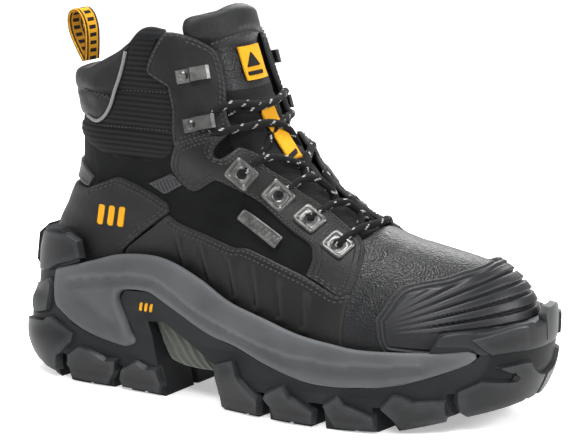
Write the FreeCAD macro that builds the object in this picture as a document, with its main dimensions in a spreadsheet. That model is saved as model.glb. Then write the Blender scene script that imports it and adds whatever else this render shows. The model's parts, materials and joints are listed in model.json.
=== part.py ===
import FreeCAD, Part
import math
import os
from functools import lru_cache

# Steel toe work boot, size 9, right foot. Millimetres, +X to the toe, +Y to the inner (medial) side, +Z up.
# The shapes are drawn in the boot's own layout, where x = 0 is the back of the heel and z = 0 is the ground.
# Every sub-part's Placement then moves that layout so that the origin is the middle of the footprint.

V = FreeCAD.Vector
doc = FreeCAD.newDocument("work_boot")

# ---- driving dimensions ---------------------------------------------------------------------------------
DIMENSIONS = {
    "origin_forward": 164.78, "origin_inward": -3.53,
    "leather": 2.2, "layer_gap": 0.2, "stiffening": 1.7, "lining_cloth": 1.8, "seam": 0.15,
    "sole_overhang": 7.0, "bumper_rubber": 3.2, "lug_channel": 5.0,
    "tongue_depth": 7.2, "tongue_split": 172.0,
    "board": 2.0, "footbed_gap": 0.5, "footbed_foam": 4.5, "foot_gap": 1.2,
    "shank_length": 110.0, "shank_width": 14.0, "shank_steel": 1.4,
    "eyelet_long": 13.0, "eyelet_wide": 10.8, "eyelet_metal": 1.6, "eyelet_hole": 3.3, "eyelet_corner": 1.6,
    "hook_long": 18.0, "hook_wide": 7.5, "hook_metal": 1.4, "hook_lift": 5.2, "hook_nose": 10.0,
    "rivet_head": 2.6, "rivet_height": 1.0,
    "lace_size": 4.5, "lace_hole": 3.3,
    "loop_width": 14.0, "loop_tape": 1.8, "loop_height": 30.0, "loop_depth": 11.0, "loop_lean": 14.0,
    "arch_span": 78.0,
}
sheet = doc.addObject("Spreadsheet::Sheet", "dimensions")
for row, (alias, number) in enumerate(DIMENSIONS.items(), start=1):
    sheet.set(f"A{row}", alias)
    sheet.set(f"B{row}", str(number))
    sheet.setAlias(f"B{row}", alias)
doc.recompute()


def size(alias):
    return float(getattr(sheet, alias))


# ---- the last: the smooth body that the upper is pulled over ---------------------------------------------
HEEL_LINE = [(20, 13), (60, 13.5), (80, 19), (100, 29), (120, 37.5), (140, 40.5), (160, 41.5), (180, 37.5),
             (200, 39), (222, 42)]
TOE_LINE = [(20, 317), (45, 316.5), (59, 314), (71, 309), (80, 300), (87, 286), (91.5, 266), (97, 242),
            (104, 222), (115, 202), (129, 184), (146, 168), (168, 156), (187, 148), (205, 142), (222, 137), (240, 131)]
HALF_WIDTH = [(0, 36), (30, 37), (60, 38), (110, 39.5), (150, 44), (205, 51.5), (245, 51), (280, 48),
              (317, 45)]
SHAFT_WIDTH = [(40, 0), (90, -1), (130, 1), (160, 3), (190, 4.5), (222, 5)]
CENTRE_LINE = [(0, 0), (60, 0), (120, -2), (190, -5), (240, -3), (280, 2), (320, 7)]
FEATHER_LINE = [(0, 51), (60, 51), (110, 50), (150, 42), (190, 34), (240, 29), (280, 31), (325, 37)]
SOLE_BACK = [(0, 18), (8, 9.5), (20, 5), (35, 4), (43, 5), (50, 9.5), (60, 10.5), (90, 15.5)]
SOLE_FRONT = [(0, 290), (14, 314), (25, 321), (45, 325), (68, 324), (90, 316)]
SOLE_FLARE = [(0, -3.5), (12, -1), (20, 1), (30, -1), (60, 0), (90, -1.5)]
SOLE_LEVELS = [0, 4, 12, 20, 24, 34, 43, 50, 70, 90]
LAST_TOE = 317.0
LAST_FLOOR = 20.0
HEEL_ROUNDING = 38.0
TOE_ROUNDING = 58.0
SHIN_ROUNDING = 46.0
SHAFT_FROM = 112.0
SHAFT_TO = 140.0
LOOP_POINTS = 24
SIDES = {"lateral": -1, "medial": 1}
LEVELS = [26, 40, 52, 62, 71, 79, 85, 90, 94, 98, 103, 110, 120, 136, 156, 180, 202, 224]


def smooth(place, knots):
    """The height at place of a smooth curve through the knots."""
    xs = [k[0] for k in knots]
    ys = [k[1] for k in knots]
    place = min(max(place, xs[0]), xs[-1])

    def slope(i):
        if i == 0:
            return (ys[1] - ys[0]) / (xs[1] - xs[0])
        if i == len(xs) - 1:
            return (ys[-1] - ys[-2]) / (xs[-1] - xs[-2])
        before = xs[i] - xs[i - 1]
        after = xs[i + 1] - xs[i]
        bend = before**2 * ys[i + 1] + (after**2 - before**2) * ys[i] - after**2 * ys[i - 1]
        return bend / (before * after * (before + after))

    i = max(k for k in range(len(xs) - 1) if xs[k] <= place)
    run = xs[i + 1] - xs[i]
    part = (place - xs[i]) / run
    start = (1 + 2 * part) * (1 - part) ** 2 * ys[i] + part * (1 - part) ** 2 * run * slope(i)
    return start + part**2 * (3 - 2 * part) * ys[i + 1] + part**2 * (part - 1) * run * slope(i + 1)


def rounded_end(share, power=2.1):
    share = min(max(share, 0), 1)
    return (1 - (1 - share) ** power) ** (1 / power)


@lru_cache(maxsize=None)
def ridge_height(x):
    """The height of the last's upper edge at x, found on the toe line by halving."""
    low, high = LAST_FLOOR, TOE_LINE[-1][0]
    for _ in range(40):
        middle = (low + high) / 2
        if smooth(middle, TOE_LINE) > x:
            low = middle
        else:
            high = middle
    return low


@lru_cache(maxsize=None)
def last_width(x, height):
    blend = min(max((x - 150) / 60, 0), 1)
    blend = blend * blend * (3 - 2 * blend)
    width = smooth(x, HALF_WIDTH) + smooth(height, SHAFT_WIDTH) * (1 - blend)
    rise = (height - LAST_FLOOR) / max(ridge_height(x) - LAST_FLOOR, 1)
    dome = (1 - min(max(rise, 0), 1) ** 2.5) ** 0.5
    shin = rounded_end((smooth(height, TOE_LINE) - x) / SHIN_ROUNDING)
    upright = min(max((height - SHAFT_FROM) / (SHAFT_TO - SHAFT_FROM), 0), 1)
    upright = upright * upright * (3 - 2 * upright)
    closing = dome * (1 - upright) + shin * upright
    heel = rounded_end((x - smooth(height, HEEL_LINE)) / HEEL_ROUNDING)
    return width * closing * heel * rounded_end((LAST_TOE - x) / TOE_ROUNDING)


@lru_cache(maxsize=None)
def last_point(turn, height):
    """A point of the last's skin. turn 0 is the heel, pi the toe, and the outer side comes between them."""
    back, front = smooth(height, HEEL_LINE), smooth(height, TOE_LINE)
    x = back + (front - back) * (1 - math.cos(turn)) / 2
    side = -1 if math.sin(turn) > 0 else 1
    return V(x, smooth(x, CENTRE_LINE) + side * last_width(x, height), height)


@lru_cache(maxsize=None)
def skin_point(turn, height, out):
    """last_point moved out along the skin's normal."""
    across = last_point(turn + 0.03, height) - last_point(turn - 0.03, height)
    up = last_point(turn, height + 0.7) - last_point(turn, height - 0.7)
    normal = across.cross(up)
    normal.normalize()
    return last_point(turn, height) + normal * out


def skin_loop(height, out):
    """The closed curve at a height of the skin moved out by a distance."""
    points = []
    for i in range(LOOP_POINTS):
        turn = 2 * math.pi * (i + 0.5) / LOOP_POINTS
        step = 2.0
        low = height - abs(out) * 2 - 3
        before = skin_point(turn, low, out)
        while True:
            after = skin_point(turn, low + step, out)
            if after.z >= height or low > 240:
                break
            before = after
            low += step
        share = (height - before.z) / (after.z - before.z)
        point = before + (after - before) * share
        points.append(V(point.x, point.y, height))
    return closed_curve(points)


def closed_curve(points):
    curve = Part.BSplineCurve()
    curve.interpolate(Points=points, PeriodicFlag=True)
    return Part.Wire(curve.toShape())


def sole_loop(height):
    """The sole's plan outline at a height: the last's own width with the sidewall outside it."""
    back, front = smooth(height, SOLE_BACK), smooth(height, SOLE_FRONT)
    points = []
    for i in range(LOOP_POINTS):
        turn = 2 * math.pi * (i + 0.5) / LOOP_POINTS
        x = back + (front - back) * (1 - math.cos(turn)) / 2
        width = smooth(x, HALF_WIDTH) + size("sole_overhang") + smooth(height, SOLE_FLARE)
        width *= rounded_end((x - back) / HEEL_ROUNDING) * rounded_end((front - x) / TOE_ROUNDING)
        side = -1 if math.sin(turn) > 0 else 1
        points.append(V(x, smooth(x, CENTRE_LINE) + side * width, height))
    return closed_curve(points)


@lru_cache(maxsize=None)
def skin_solid(out):
    """The last, grown by a distance, as one solid."""
    return Part.makeLoft([skin_loop(level, out) for level in LEVELS], True, True)


def layer(outer, inner):
    return skin_solid(outer).cut(skin_solid(inner))


def skin_frame(x, height, side):
    """The skin's point and outward normal at x and height, on one side."""
    near = 0.5
    slope_x = (last_width(x + near, height) - last_width(x - near, height)) / (2 * near)
    slope_z = (last_width(x, height + near) - last_width(x, height - near)) / (2 * near)
    bend = (smooth(x + near, CENTRE_LINE) - smooth(x - near, CENTRE_LINE)) / (2 * near)
    normal = V(-side * bend - slope_x, side, -slope_z)
    normal.normalize()
    return V(x, smooth(x, CENTRE_LINE) + side * last_width(x, height), height), normal


def on_skin(x, height, side, out):
    point, normal = skin_frame(x, height, side)
    return point + normal * out


# ---- outlines seen from the side, as (x, z) --------------------------------------------------------------
BEYOND = 400.0
SWOOSH_TOP = [(43, 66), (64, 72), (84, 78), (106, 80), (122, 78), (143, 71), (163, 62), (188, 56), (210, 50),
              (229, 47), (247, 45), (282, 46), (302, 47), (305, 44.5)]
SWOOSH_UNDER = [(302, 41), (289, 35), (272, 29), (247, 25), (231, 24), (214, 25), (191, 30), (168, 37),
                (148, 41), (124, 51), (111, 57), (105, 59), (88, 58), (85, 53), (88, 44), (96, 30), (95, 28), (84, 26),
                (66, 29), (52, 34), (42, 41), (39, 45), (39, 53), (40, 60)]
TREAD_LINE = [(-20, 22), (4, 19), (22, 0), (115, 0), (112, 20), (104, 42), (115, 43), (153, 25), (158, 0),
              (262, 0), (279, 6), (300, 14), (321, 23), (340, 30)]
TOE_WRAP = [(340, 52), (313, 50), (303, 57), (288, 56), (282, 46)]
HEEL_CUP = [(58, 71), (55, 82), (42, 88), (20, 84), (-20, 84)]
EYESTAY_EDGE = [(226, 98), (208, 108), (190, 119), (172, 133), (158, 144), (149, 137), (146, 142), (153, 152)]
ANKLE_FRONT = [(149, 161), (146, 174), (142, 186), (138, 195), (131, 201), (114, 205)]
ANKLE_REAR = [(105, 187), (104, 182), (118, 175), (121, 160), (123, 144)]
EYESTAY_LOW = [(122, 140), (118, 130), (126, 121), (134, 118), (152, 125), (166, 118), (190, 102), (203, 95),
               (207, 88), (206, 79)]
MUDGUARD_TOP = [(115, 103), (122, 99), (140, 95), (159, 90), (169, 90), (187, 85), (206, 79), (226, 71),
                (233, 73)]
COUNTER_EDGE = [(57, 112), (69, 117), (80, 121), (98, 116), (114, 109), (115, 103), (101, 94), (84, 80)]
CUFF_LOW = [(-20, 143), (54, 140), (76, 132), (94, 128), (106, 131), (118, 137)]
COLLAR_LOW = [(-20, 150), (60, 155), (68, 152), (78, 160), (86, 179), (90, 190), (92, 197)]
COLLAR_TOP = [(80, 189), (60, 180), (42, 177), (-20, 177)]
BUMPER_EDGE = [(255, 40), (249, 60), (254, 71), (258, 76), (277, 80), (286, 83), (290, 88), (294, 110)]

OUTLINES = {
    "midsole": SWOOSH_TOP + SWOOSH_UNDER,
    "outsole": TREAD_LINE + TOE_WRAP + [(302, 47), (305, 44.5)] + SWOOSH_UNDER + [(43, 66)] + HEEL_CUP,
    "counter": [(-20, 112)] + COUNTER_EDGE + [(70, 30), (-20, 30)],
    "mudguard": MUDGUARD_TOP + [(233, 20), (70, 20), (84, 80), (101, 94)],
    "eyestay": EYESTAY_LOW + [(226, 71), (233, 73), (234, 86), (232, 93)] + EYESTAY_EDGE + [(123, 143)],
    "ankle": [(123, 143.5), (153, 152.5)] + ANKLE_FRONT + ANKLE_REAR,
    "collar": COLLAR_LOW + COLLAR_TOP,
    "cuff": CUFF_LOW + [(123, 144), (122, 160), (119, 175), (106, 183), (114, 205), (106, 206)]
             + [(99, 204), (92, 197)]
            + [(60, 165), (-20, 158)],
    "side_panel": [(-20, 108), (69, 100), (100, 92), (150, 80), (210, 76), (212, 100), (166, 122), (125, 150),
                   (94, 140), (60, 148), (-20, 148)],
    "vamp": [(232, 20), (233, 73), (234, 86), (232, 93), (226, 98), (223, 118), (330, 118), (330, 20)],
    "bumper": BUMPER_EDGE + [(330, 110), (330, 30), (256, 30)],
    "toe_cap": [(262, 34), (258, 60), (266, 110), (330, 110), (330, 34)],
    "stiffener": [(-20, 46), (-20, 108), (50, 108), (78, 98), (88, 46)],
    "padding": [(-20, 115), (60, 118), (112, 130), (112, 200), (100, 202), (90, 193), (60, 177), (-20, 174)],
    "throat": [(226, 92), (200, 98), (160, 118), (140, 134), (134, 160), (128, 180), (118, 196), (118, 240),
               (240, 240), (240, 92)],
    "crown": [(228, 99), (209, 110), (191, 121), (173, 135), (158, 149), (152, 162), (149, 175), (145, 187),
              (141, 197), (134, 204.5), (120, 208), (112, 216), (112, 240), (240, 240), (240, 99)],
    "heel_tab": [(-20, 113), (45, 115), (57, 112), (62, 119), (49, 126), (-20, 126)],
    "flex_tab": [(100, 119), (118, 127), (126, 121), (112, 113.5)],
    "badge": [(164, 111), (189, 97.5), (185.5, 91), (160, 105)],
    "heel_mark": [(66, 105), (76, 101), (87, 104), (85, 92), (76, 96), (67, 93)],
    "tongue": [(228, 90), (205, 96), (165, 116), (140, 136), (131, 170), (124, 196), (116, 204), (114, 216),
               (240, 216), (240, 90)],
}


LINING_TOP = [(-20, 174), (60, 177), (90, 193), (100, 202), (118, 203), (118, 240), (-20, 240)]
EYELETS = [(162.5, 130), (180.5, 118), (199, 106), (218, 94)]
HOOKS = [(131, 182), (137.5, 156)]
CROWN_DEPTH = 2.0
TONGUE_GAP = 0.4
TONGUE_TOP = 215.5
TONGUE_BACKING = V(-7, 0, -4)
SHANK_BACK = 72
HEEL_FIN = [(12, 59), (9, 63), (11, 79), (18, 85), (28, 60)]
ARCH_WINDOW = [(105.5, 40.5), (115, 41.5), (151.5, 24.5), (149, 19), (127, 19), (118, 23), (108, 34)]
NOSE_BLOCK = [(304, 52), (325, 52), (325, 63), (320, 68), (304, 68)]
SIPES = [(20, 2), (60, 3), (101, -3), (172, 3), (205, -3), (240, 3), (276, -3)]
TREAD_GAPS = [(33, 10, 16), (74, 12, 14), (179.5, 8, 15), (214, 9, 14), (250, 9, 15), (286, 9, 24)]
CHEVRON = 9.0
PIPING_LINE = [(90, 188), (87, 178), (83, 168), (78, 159), (73, 154), (66, 152)]
CHANNEL_OFFSET = 14.0
CHANNEL_TOP = 10.0


def largest(shape):
    """The biggest solid of a shape, without the slivers that a grazing cut can leave."""
    return max(shape.Solids, key=lambda solid: solid.Volume)


def drill(x, z, side, radius):
    point, normal = skin_frame(x, z, side)
    return Part.makeCylinder(radius, 12, point - normal * 6, normal)


def feather_strip(start, end, low, high):
    """A strip that follows the feather line, as an outline in x and z."""
    count = 26
    xs = [start + (end - start) * i / (count - 1) for i in range(count)]
    bottom = [(x, smooth(x, FEATHER_LINE) + low) for x in xs]
    top = [(x, smooth(x, FEATHER_LINE) + high) for x in reversed(xs)]
    return bottom + top


def tread_gap(x, width, top):
    """A chevron channel across the tread, from below the ground to its top."""
    middle = smooth(x, CENTRE_LINE)
    back = [(x, -90), (x + CHEVRON, middle), (x, 90)]
    front = [(x + width, 90), (x + CHEVRON + width, middle), (x + width, -90)]
    return plan_prism(back + front, -5, top)


def tread_sipe(x, slant):
    """A narrow slanted cut into the foot of a side lug, on both sides of the tread."""
    edge = smooth(x, HALF_WIDTH) + size("sole_overhang")
    middle = smooth(x, CENTRE_LINE)
    cuts = []
    for side in SIDES.values():
        outer, inner = middle + side * (edge + 5), middle + side * (edge - 12)
        outline = [(x, outer), (x + 2.4, outer), (x + 2.4 + slant, inner), (x + slant, inner)]
        cuts.append(plan_prism(outline, -5, 8))
    return cuts


def tread_channels():
    """Two lengthwise channels that part the side lugs from the middle ones."""
    half = size("lug_channel") / 2
    channels = []
    for start, end in ((30, 116), (157, 290)):
        count = 8
        xs = [start + (end - start) * i / (count - 1) for i in range(count)]
        for side in SIDES.values():
            ys = [smooth(x, CENTRE_LINE) + side * CHANNEL_OFFSET + (3 if i % 2 else -3) for i, x in enumerate(xs)]
            lower = [(x, y - half) for x, y in zip(xs, ys)]
            upper = [(x, y + half) for x, y in reversed(list(zip(xs, ys)))]
            channels.append(plan_prism(lower + upper, -5, CHANNEL_TOP))
    return channels


LACE_OUT = 2.9
LACE_UNDER = -4.8
LACE_ON_CROWN = 0.6
LACE_OVER = 5.4
LACE_BEHIND_HOOK = 2.6


def lace_route():
    """The lace from one hidden end, up the crossings and down to the other."""
    def ridge(x, out):
        return V(x, smooth(x, CENTRE_LINE), ridge_height(x) + out)

    left = []
    right = []
    edges = [(169, 138), (187, 126), (205, 113), (223, 100)]
    for branch, first in ((left, -1), (right, 1)):
        side = first
        for i in range(3, 0, -1):
            hole, edge = EYELETS[i], edges[i]
            other_hole, other_edge = EYELETS[i - 1], edges[i - 1]
            lift = LACE_OVER if first * side * (-1) ** i > 0 else LACE_ON_CROWN
            branch.append(on_skin(*hole, side, LACE_OUT))
            branch.append(on_skin(*hole, side, LACE_UNDER))
            branch.append(on_skin(*edge, side, LACE_UNDER))
            branch.append(ridge((edge[0] + other_edge[0]) / 2 + 4, lift))
            side = -side
            branch.append(on_skin(*other_edge, side, LACE_OUT + 1))
        branch.append(on_skin(*EYELETS[0], side, LACE_OUT))
        branch.append(on_skin(*EYELETS[0], side, LACE_UNDER))
        branch.append(on_skin(*edges[0], side, LACE_UNDER))
        branch.append(ridge(163, LACE_OVER if side > 0 else LACE_ON_CROWN))
        side = -side
        branch.append(on_skin(150, 151, side, LACE_OUT + 1))
        branch.append(on_skin(143.5, 152, side, LACE_BEHIND_HOOK))
        branch.append(on_skin(142, 161, side, LACE_BEHIND_HOOK))
        branch.append(on_skin(148, 166, side, LACE_OUT + 1))
        branch.append(ridge(158.5, LACE_OVER if side > 0 else LACE_ON_CROWN))
        branch.append(on_skin(150.5, 161, -side, LACE_UNDER))
        branch.append(on_skin(141, 163, -side, LACE_UNDER))
    bar = [on_skin(*edges[3], 1, LACE_OUT), ridge(229, LACE_OUT), on_skin(*edges[3], -1, LACE_OUT)]
    return list(reversed(left)) + [bar[2], bar[1], bar[0]] + right


def side_prism(outline, grow=0.0, low=-BEYOND, high=BEYOND):
    """An outline in x and z as a solid that runs across the boot from y low to y high."""
    face = Part.Face(Part.makePolygon([V(x, low, z) for x, z in outline + outline[:1]]))
    if grow:
        face = face.makeOffset2D(grow)
    return face.extrude(V(0, high - low, 0))


def plan_prism(outline, low, high):
    """An outline in x and y as a solid from z low to z high."""
    face = Part.Face(Part.makePolygon([V(x, y, low) for x, y in outline + outline[:1]]))
    return face.extrude(V(0, 0, high - low))


def panel(stock, name, over=(), side=0):
    """The stock inside the named outline and outside the panels sewn over it, on one side or both."""
    low = size("seam") if side > 0 else -BEYOND
    high = -size("seam") if side < 0 else BEYOND
    piece = stock.common(side_prism(OUTLINES[name], 0, low, high))
    for other in over:
        piece = piece.cut(side_prism(OUTLINES[other], size("seam")))
    return piece


def feather_prism(lift, top=BEYOND):
    """The space above the line where the upper meets the sole, raised by lift."""
    count = 31
    bottom = []
    for i in range(count):
        x = -20 + 360.0 * i / (count - 1)
        bottom.append((x, smooth(x, FEATHER_LINE) + lift))
    return side_prism(bottom + [(340, top), (-20, top)])


# ---- making the document's objects -----------------------------------------------------------------------
BOOT_TO_ORIGIN = V(-size("origin_forward"), -size("origin_inward"), 0)
parts = []


def keep(item, label, place=None):
    item.Label = label
    move = FreeCAD.Placement(BOOT_TO_ORIGIN, FreeCAD.Rotation())
    item.Placement = move.multiply(place) if place else move
    parts.append(item)
    return item


def shaped(label, shape):
    """A sub-part whose free-form shape is worked out from the last."""
    item = doc.addObject("Part::Feature", label)
    item.Shape = shape
    return keep(item, label)


def plane_of(body, role):
    return next(f for f in body.Origin.OriginFeatures if f.Role == role)


def draw(sketch, outline):
    count = len(outline)
    for i in range(count):
        start, end = outline[i], outline[(i + 1) % count]
        sketch.addGeometry(Part.LineSegment(V(start[0], start[1], 0), V(end[0], end[1], 0)), False)


def new_sketch(body, name, role="XY_Plane", lift=0.0):
    sketch = body.newObject("Sketcher::SketchObject", name)
    sketch.AttachmentSupport = [(plane_of(body, role), "")]
    sketch.MapMode = "FlatFace"
    sketch.AttachmentOffset = FreeCAD.Placement(V(0, 0, lift), FreeCAD.Rotation())
    return sketch


def padded_body(name, outline, thickness, role="XY_Plane", midplane=False):
    """A PartDesign body: one outline padded by the sheet's value."""
    body = doc.addObject("PartDesign::Body", name)
    sketch = new_sketch(body, name + "_sketch", role)
    draw(sketch, outline)
    pad = body.newObject("PartDesign::Pad", name + "_pad")
    pad.Profile = sketch
    pad.setExpression("Length", f"dimensions.{thickness}")
    pad.Midplane = midplane
    doc.recompute()
    return body


def seat(x, height, side, along, lift=0.0):
    """The Placement that sets a flat piece on the skin with its local x along the given direction."""
    point, normal = skin_frame(x, height, side)
    across = normal.cross(along)
    across.normalize()
    lengthwise = across.cross(normal)
    turn = FreeCAD.Rotation(lengthwise, across, normal, "ZXY")
    return FreeCAD.Placement(point + normal * lift, turn)


# ---- upper ------------------------------------------------------------------------------------------------
leather = size("leather")
gap = size("layer_gap")
stiff_out = -leather - gap
stiff_in = stiff_out - size("stiffening")
lining_out = stiff_in - gap
lining_in = lining_out - size("lining_cloth")

leather_shell = layer(0.0, -leather).common(feather_prism(0))
OVERLAYS = ["counter", "mudguard", "eyestay", "ankle", "collar", "cuff"]
hole_radius = size("lace_hole")
lace_holes = Part.makeCompound([drill(x, z, side, hole_radius) for x, z in EYELETS for side in SIDES.values()])
shaped("heel_counter", panel(leather_shell, "counter"))
shaped("collar", panel(leather_shell, "collar"))
shaped("ankle_cuff", panel(leather_shell, "cuff", ["ankle", "collar", "eyestay"]))
shaped("vamp", panel(leather_shell, "vamp", ["mudguard", "eyestay"]))
for side_name, side in SIDES.items():
    shaped(f"mudguard_{side_name}", panel(leather_shell, "mudguard", ["counter"], side))
    eyestay = panel(leather_shell, "eyestay", ["mudguard", "ankle"], side)
    shaped(f"eyestay_{side_name}", eyestay.cut(lace_holes))
    shaped(f"ankle_panel_{side_name}", panel(leather_shell, "ankle", [], side))
    shaped(f"side_panel_{side_name}", panel(leather_shell, "side_panel", OVERLAYS, side))

middle_shell = layer(stiff_out, stiff_in).common(feather_prism(3))
shaped("steel_toe_cap", panel(middle_shell, "toe_cap"))
shaped("heel_stiffener", panel(middle_shell, "stiffener"))
shaped("ankle_padding", panel(middle_shell, "padding"))
lining_shell = layer(lining_out, lining_in).common(feather_prism(3))
shaped("toe_cap_liner", panel(lining_shell, "toe_cap"))
lining = lining_shell.cut(side_prism(OUTLINES["toe_cap"], gap)).cut(side_prism(OUTLINES["throat"]))
shaped("lining", lining.cut(side_prism(LINING_TOP)))

TRIM_THICKNESS = 1.2
trim_shell = layer(TRIM_THICKNESS, gap)
shaped("heel_tab", panel(trim_shell, "heel_tab"))
shaped("badge", panel(trim_shell, "badge", [], SIDES["lateral"]))
shaped("heel_mark", panel(trim_shell, "heel_mark", [], SIDES["lateral"]))
for side_name, side in SIDES.items():
    shaped(f"flex_tab_{side_name}", panel(trim_shell, "flex_tab", [], side))

# ---- tongue ----------------------------------------------------------------------------------------------
under_flaps = -size("tongue_depth")
inner_face = skin_solid(under_flaps).translated(TONGUE_BACKING)
above_z = size("tongue_split") + TONGUE_GAP
below = side_prism([(-20, 0), (340, 0), (340, size("tongue_split")), (-20, size("tongue_split"))])
crown = skin_solid(-CROWN_DEPTH).common(side_prism(OUTLINES["crown"]))
tongue = skin_solid(under_flaps).common(side_prism(OUTLINES["tongue"])).fuse(crown).cut(inner_face)
above = side_prism([(-20, above_z), (340, above_z), (340, TONGUE_TOP), (-20, TONGUE_TOP)])
shaped("tongue_lower", largest(tongue.common(below)))
shaped("tongue_upper", largest(tongue.common(above)))
label_shell = layer(-CROWN_DEPTH + TRIM_THICKNESS, -CROWN_DEPTH + gap)
label_strip = plan_prism([(100, -13), (200, -13), (200, 9), (100, 9)], 177, 195)
shaped("tongue_label", label_shell.common(label_strip).common(side_prism(OUTLINES["crown"])))
keeper_strip = plan_prism([(158, -12), (176, -12), (176, 2), (158, 2)], 100, 170)
shaped("lace_keeper", label_shell.common(keeper_strip).common(side_prism(OUTLINES["crown"])))

# ---- sole ------------------------------------------------------------------------------------------------
sole_block = Part.makeLoft([sole_loop(level) for level in SOLE_LEVELS], True, True)
cavity = skin_solid(gap).common(feather_prism(-gap))
shank_line = feather_strip(SHANK_BACK, SHANK_BACK + size("shank_length"), -gap - size("shank_steel"), -gap)
shank_half = size("shank_width") / 2
recess = side_prism(shank_line, gap, -shank_half - gap, shank_half + gap)
midsole = sole_block.common(side_prism(OUTLINES["midsole"])).cut(cavity).cut(recess)
shaped("midsole", midsole)
outsole = panel(sole_block, "outsole", ["midsole"]).cut(cavity).cut(recess)
outsole = outsole.fuse(side_prism(HEEL_FIN, 0, -18, 18).cut(cavity))
sipes = [cut for sipe in SIPES for cut in tread_sipe(*sipe)]
outsole = outsole.cut(Part.makeCompound([tread_gap(*g) for g in TREAD_GAPS] + sipes))
outsole = outsole.cut(Part.makeCompound(tread_channels()))
shaped("outsole", outsole)
bumper = panel(layer(size("bumper_rubber"), gap), "bumper", ["midsole", "outsole"])
nose_block = side_prism(NOSE_BLOCK, 0, -4, 18).cut(skin_solid(gap))
shaped("toe_bumper", bumper.fuse(nose_block.cut(side_prism(OUTLINES["outsole"], size("seam")))))

board_top = size("board")
foam_low = board_top + size("footbed_gap")
foam_top = foam_low + size("footbed_foam")
shaped("insole_board", skin_solid(stiff_out).common(side_prism(feather_strip(-5, 330, 0.1, board_top))))
foam_strip = side_prism(feather_strip(20, 308, foam_low, foam_top))
shaped("footbed", skin_solid(lining_in - size("foot_gap")).common(foam_strip))

shank = padded_body("shank_body", shank_line, "shank_width", "XZ_Plane", True)
keep(shank, "steel_shank")
arch = padded_body("arch_body", ARCH_WINDOW, "arch_span", "XZ_Plane", True)
groove = new_sketch(arch, "groove_sketch", "XZ_Plane")
draw(groove, [(122, 18), (123.6, 18), (123.6, 20.5), (122, 20.5)])
pocket = arch.newObject("PartDesign::Pocket", "groove")
pocket.Profile = groove
pocket.Midplane = True
pocket.setExpression("Length", "dimensions.arch_span")
doc.recompute()
pattern = arch.newObject("PartDesign::LinearPattern", "grooves")
pattern.Originals = [pocket]
pattern.Direction = (groove, ["H_Axis"])
pattern.Length = 24.0
pattern.Occurrences = 6
arch.Tip = pattern
doc.recompute()
keep(arch, "arch_shank")

# ---- metal fittings --------------------------------------------------------------------------------------
long_half, wide_half = size("eyelet_long") / 2, size("eyelet_wide") / 2
corner = size("eyelet_corner")
plate_outline = [(-long_half + corner, -wide_half), (long_half - corner, -wide_half),
                 (long_half, -wide_half + corner), (long_half, wide_half - corner),
                 (long_half - corner, wide_half), (-long_half + corner, wide_half),
                 (-long_half, wide_half - corner), (-long_half, -wide_half + corner)]
eyelet = padded_body("eyelet_pattern", plate_outline, "eyelet_metal")
hole_sketch = new_sketch(eyelet, "eyelet_hole_sketch")
hole_sketch.addGeometry(Part.Circle(V(0, 0, 0), V(0, 0, 1), size("eyelet_hole")), False)
eyelet_hole = eyelet.newObject("PartDesign::Pocket", "eyelet_hole")
eyelet_hole.Profile = hole_sketch
eyelet_hole.Type = "ThroughAll"
eyelet_hole.Reversed = True
doc.recompute()

metal, lift, nose = size("hook_metal"), size("hook_lift"), size("hook_nose")
tail = size("hook_long") - nose
hook_middle = size("hook_long") / 2
hook_side = [(0, 0), (tail, 0), (tail + 1, lift - 1), (tail + nose - 1.5, lift), (tail + nose, lift - 1.2),
             (tail + nose + 0.8, lift), (tail + nose - 1, lift + metal), (tail, lift + metal),
             (tail - 1, metal), (0, metal)]
hook_outline = [(x - hook_middle, z) for x, z in hook_side]
hook = padded_body("hook_pattern", hook_outline, "hook_wide", "XZ_Plane", True)

rivet = doc.addObject("Part::Cone", "rivet_pattern")
rivet.setExpression("Radius1", "dimensions.rivet_head")
rivet.setExpression("Radius2", "dimensions.rivet_head * 0.6")
rivet.setExpression("Height", "dimensions.rivet_height")
doc.recompute()


def copies(label, pattern_shape, places):
    """Identical fittings as one sub-part of separate solids."""
    group = []
    for place in places:
        copy = pattern_shape.copy()
        copy.Placement = place.multiply(copy.Placement)
        group.append(copy)
    return shaped(label, Part.makeCompound(group))


EYELET_LIFT = 0.5
HOOK_LIFT = 0.6
rivets = []
for side_name, side in SIDES.items():
    along = V(1, 0, -0.68)
    copies(f"eyelets_{side_name}", eyelet.Shape, [seat(x, z, side, along, EYELET_LIFT) for x, z in EYELETS])
    hook_seats = [seat(x, z, side, V(1, 0, 0.26), HOOK_LIFT) for x, z in HOOKS]
    copies(f"speed_hooks_{side_name}", hook.Shape, hook_seats)
    for place in hook_seats:
        on_tail = FreeCAD.Placement(V(tail / 2 - hook_middle, 0, metal + 0.05), FreeCAD.Rotation())
        rivets.append(place.multiply(on_tail))
copies("hook_rivets", rivet.Shape, rivets)

# ---- pull loop -------------------------------------------------------------------------------------------
tape, loop_high, loop_deep = size("loop_tape"), size("loop_height"), size("loop_depth")
loop_outline = [(-tape, 0), (tape, 0), (loop_deep / 2, loop_high * 0.55), (loop_deep / 2, loop_high * 0.85),
                (loop_deep * 0.3, loop_high), (-loop_deep * 0.3, loop_high),
                (-loop_deep / 2, loop_high * 0.85), (-loop_deep / 2, loop_high * 0.55)]
pull = padded_body("pull_body", loop_outline, "loop_width", "XZ_Plane", True)
inner_sketch = new_sketch(pull, "pull_inner_sketch", "XZ_Plane")
loop_face = Part.Face(Part.makePolygon([V(x, z, 0) for x, z in loop_outline + loop_outline[:1]]))
inside = loop_face.makeOffset2D(-tape * 0.9)
draw(inner_sketch, [(v.X, v.Y) for v in inside.OuterWire.OrderedVertexes])
pull_hole = pull.newObject("PartDesign::Pocket", "pull_inner")
pull_hole.Profile = inner_sketch
pull_hole.Midplane = True
pull_hole.setExpression("Length", "dimensions.loop_width * 2")
doc.recompute()
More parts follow.
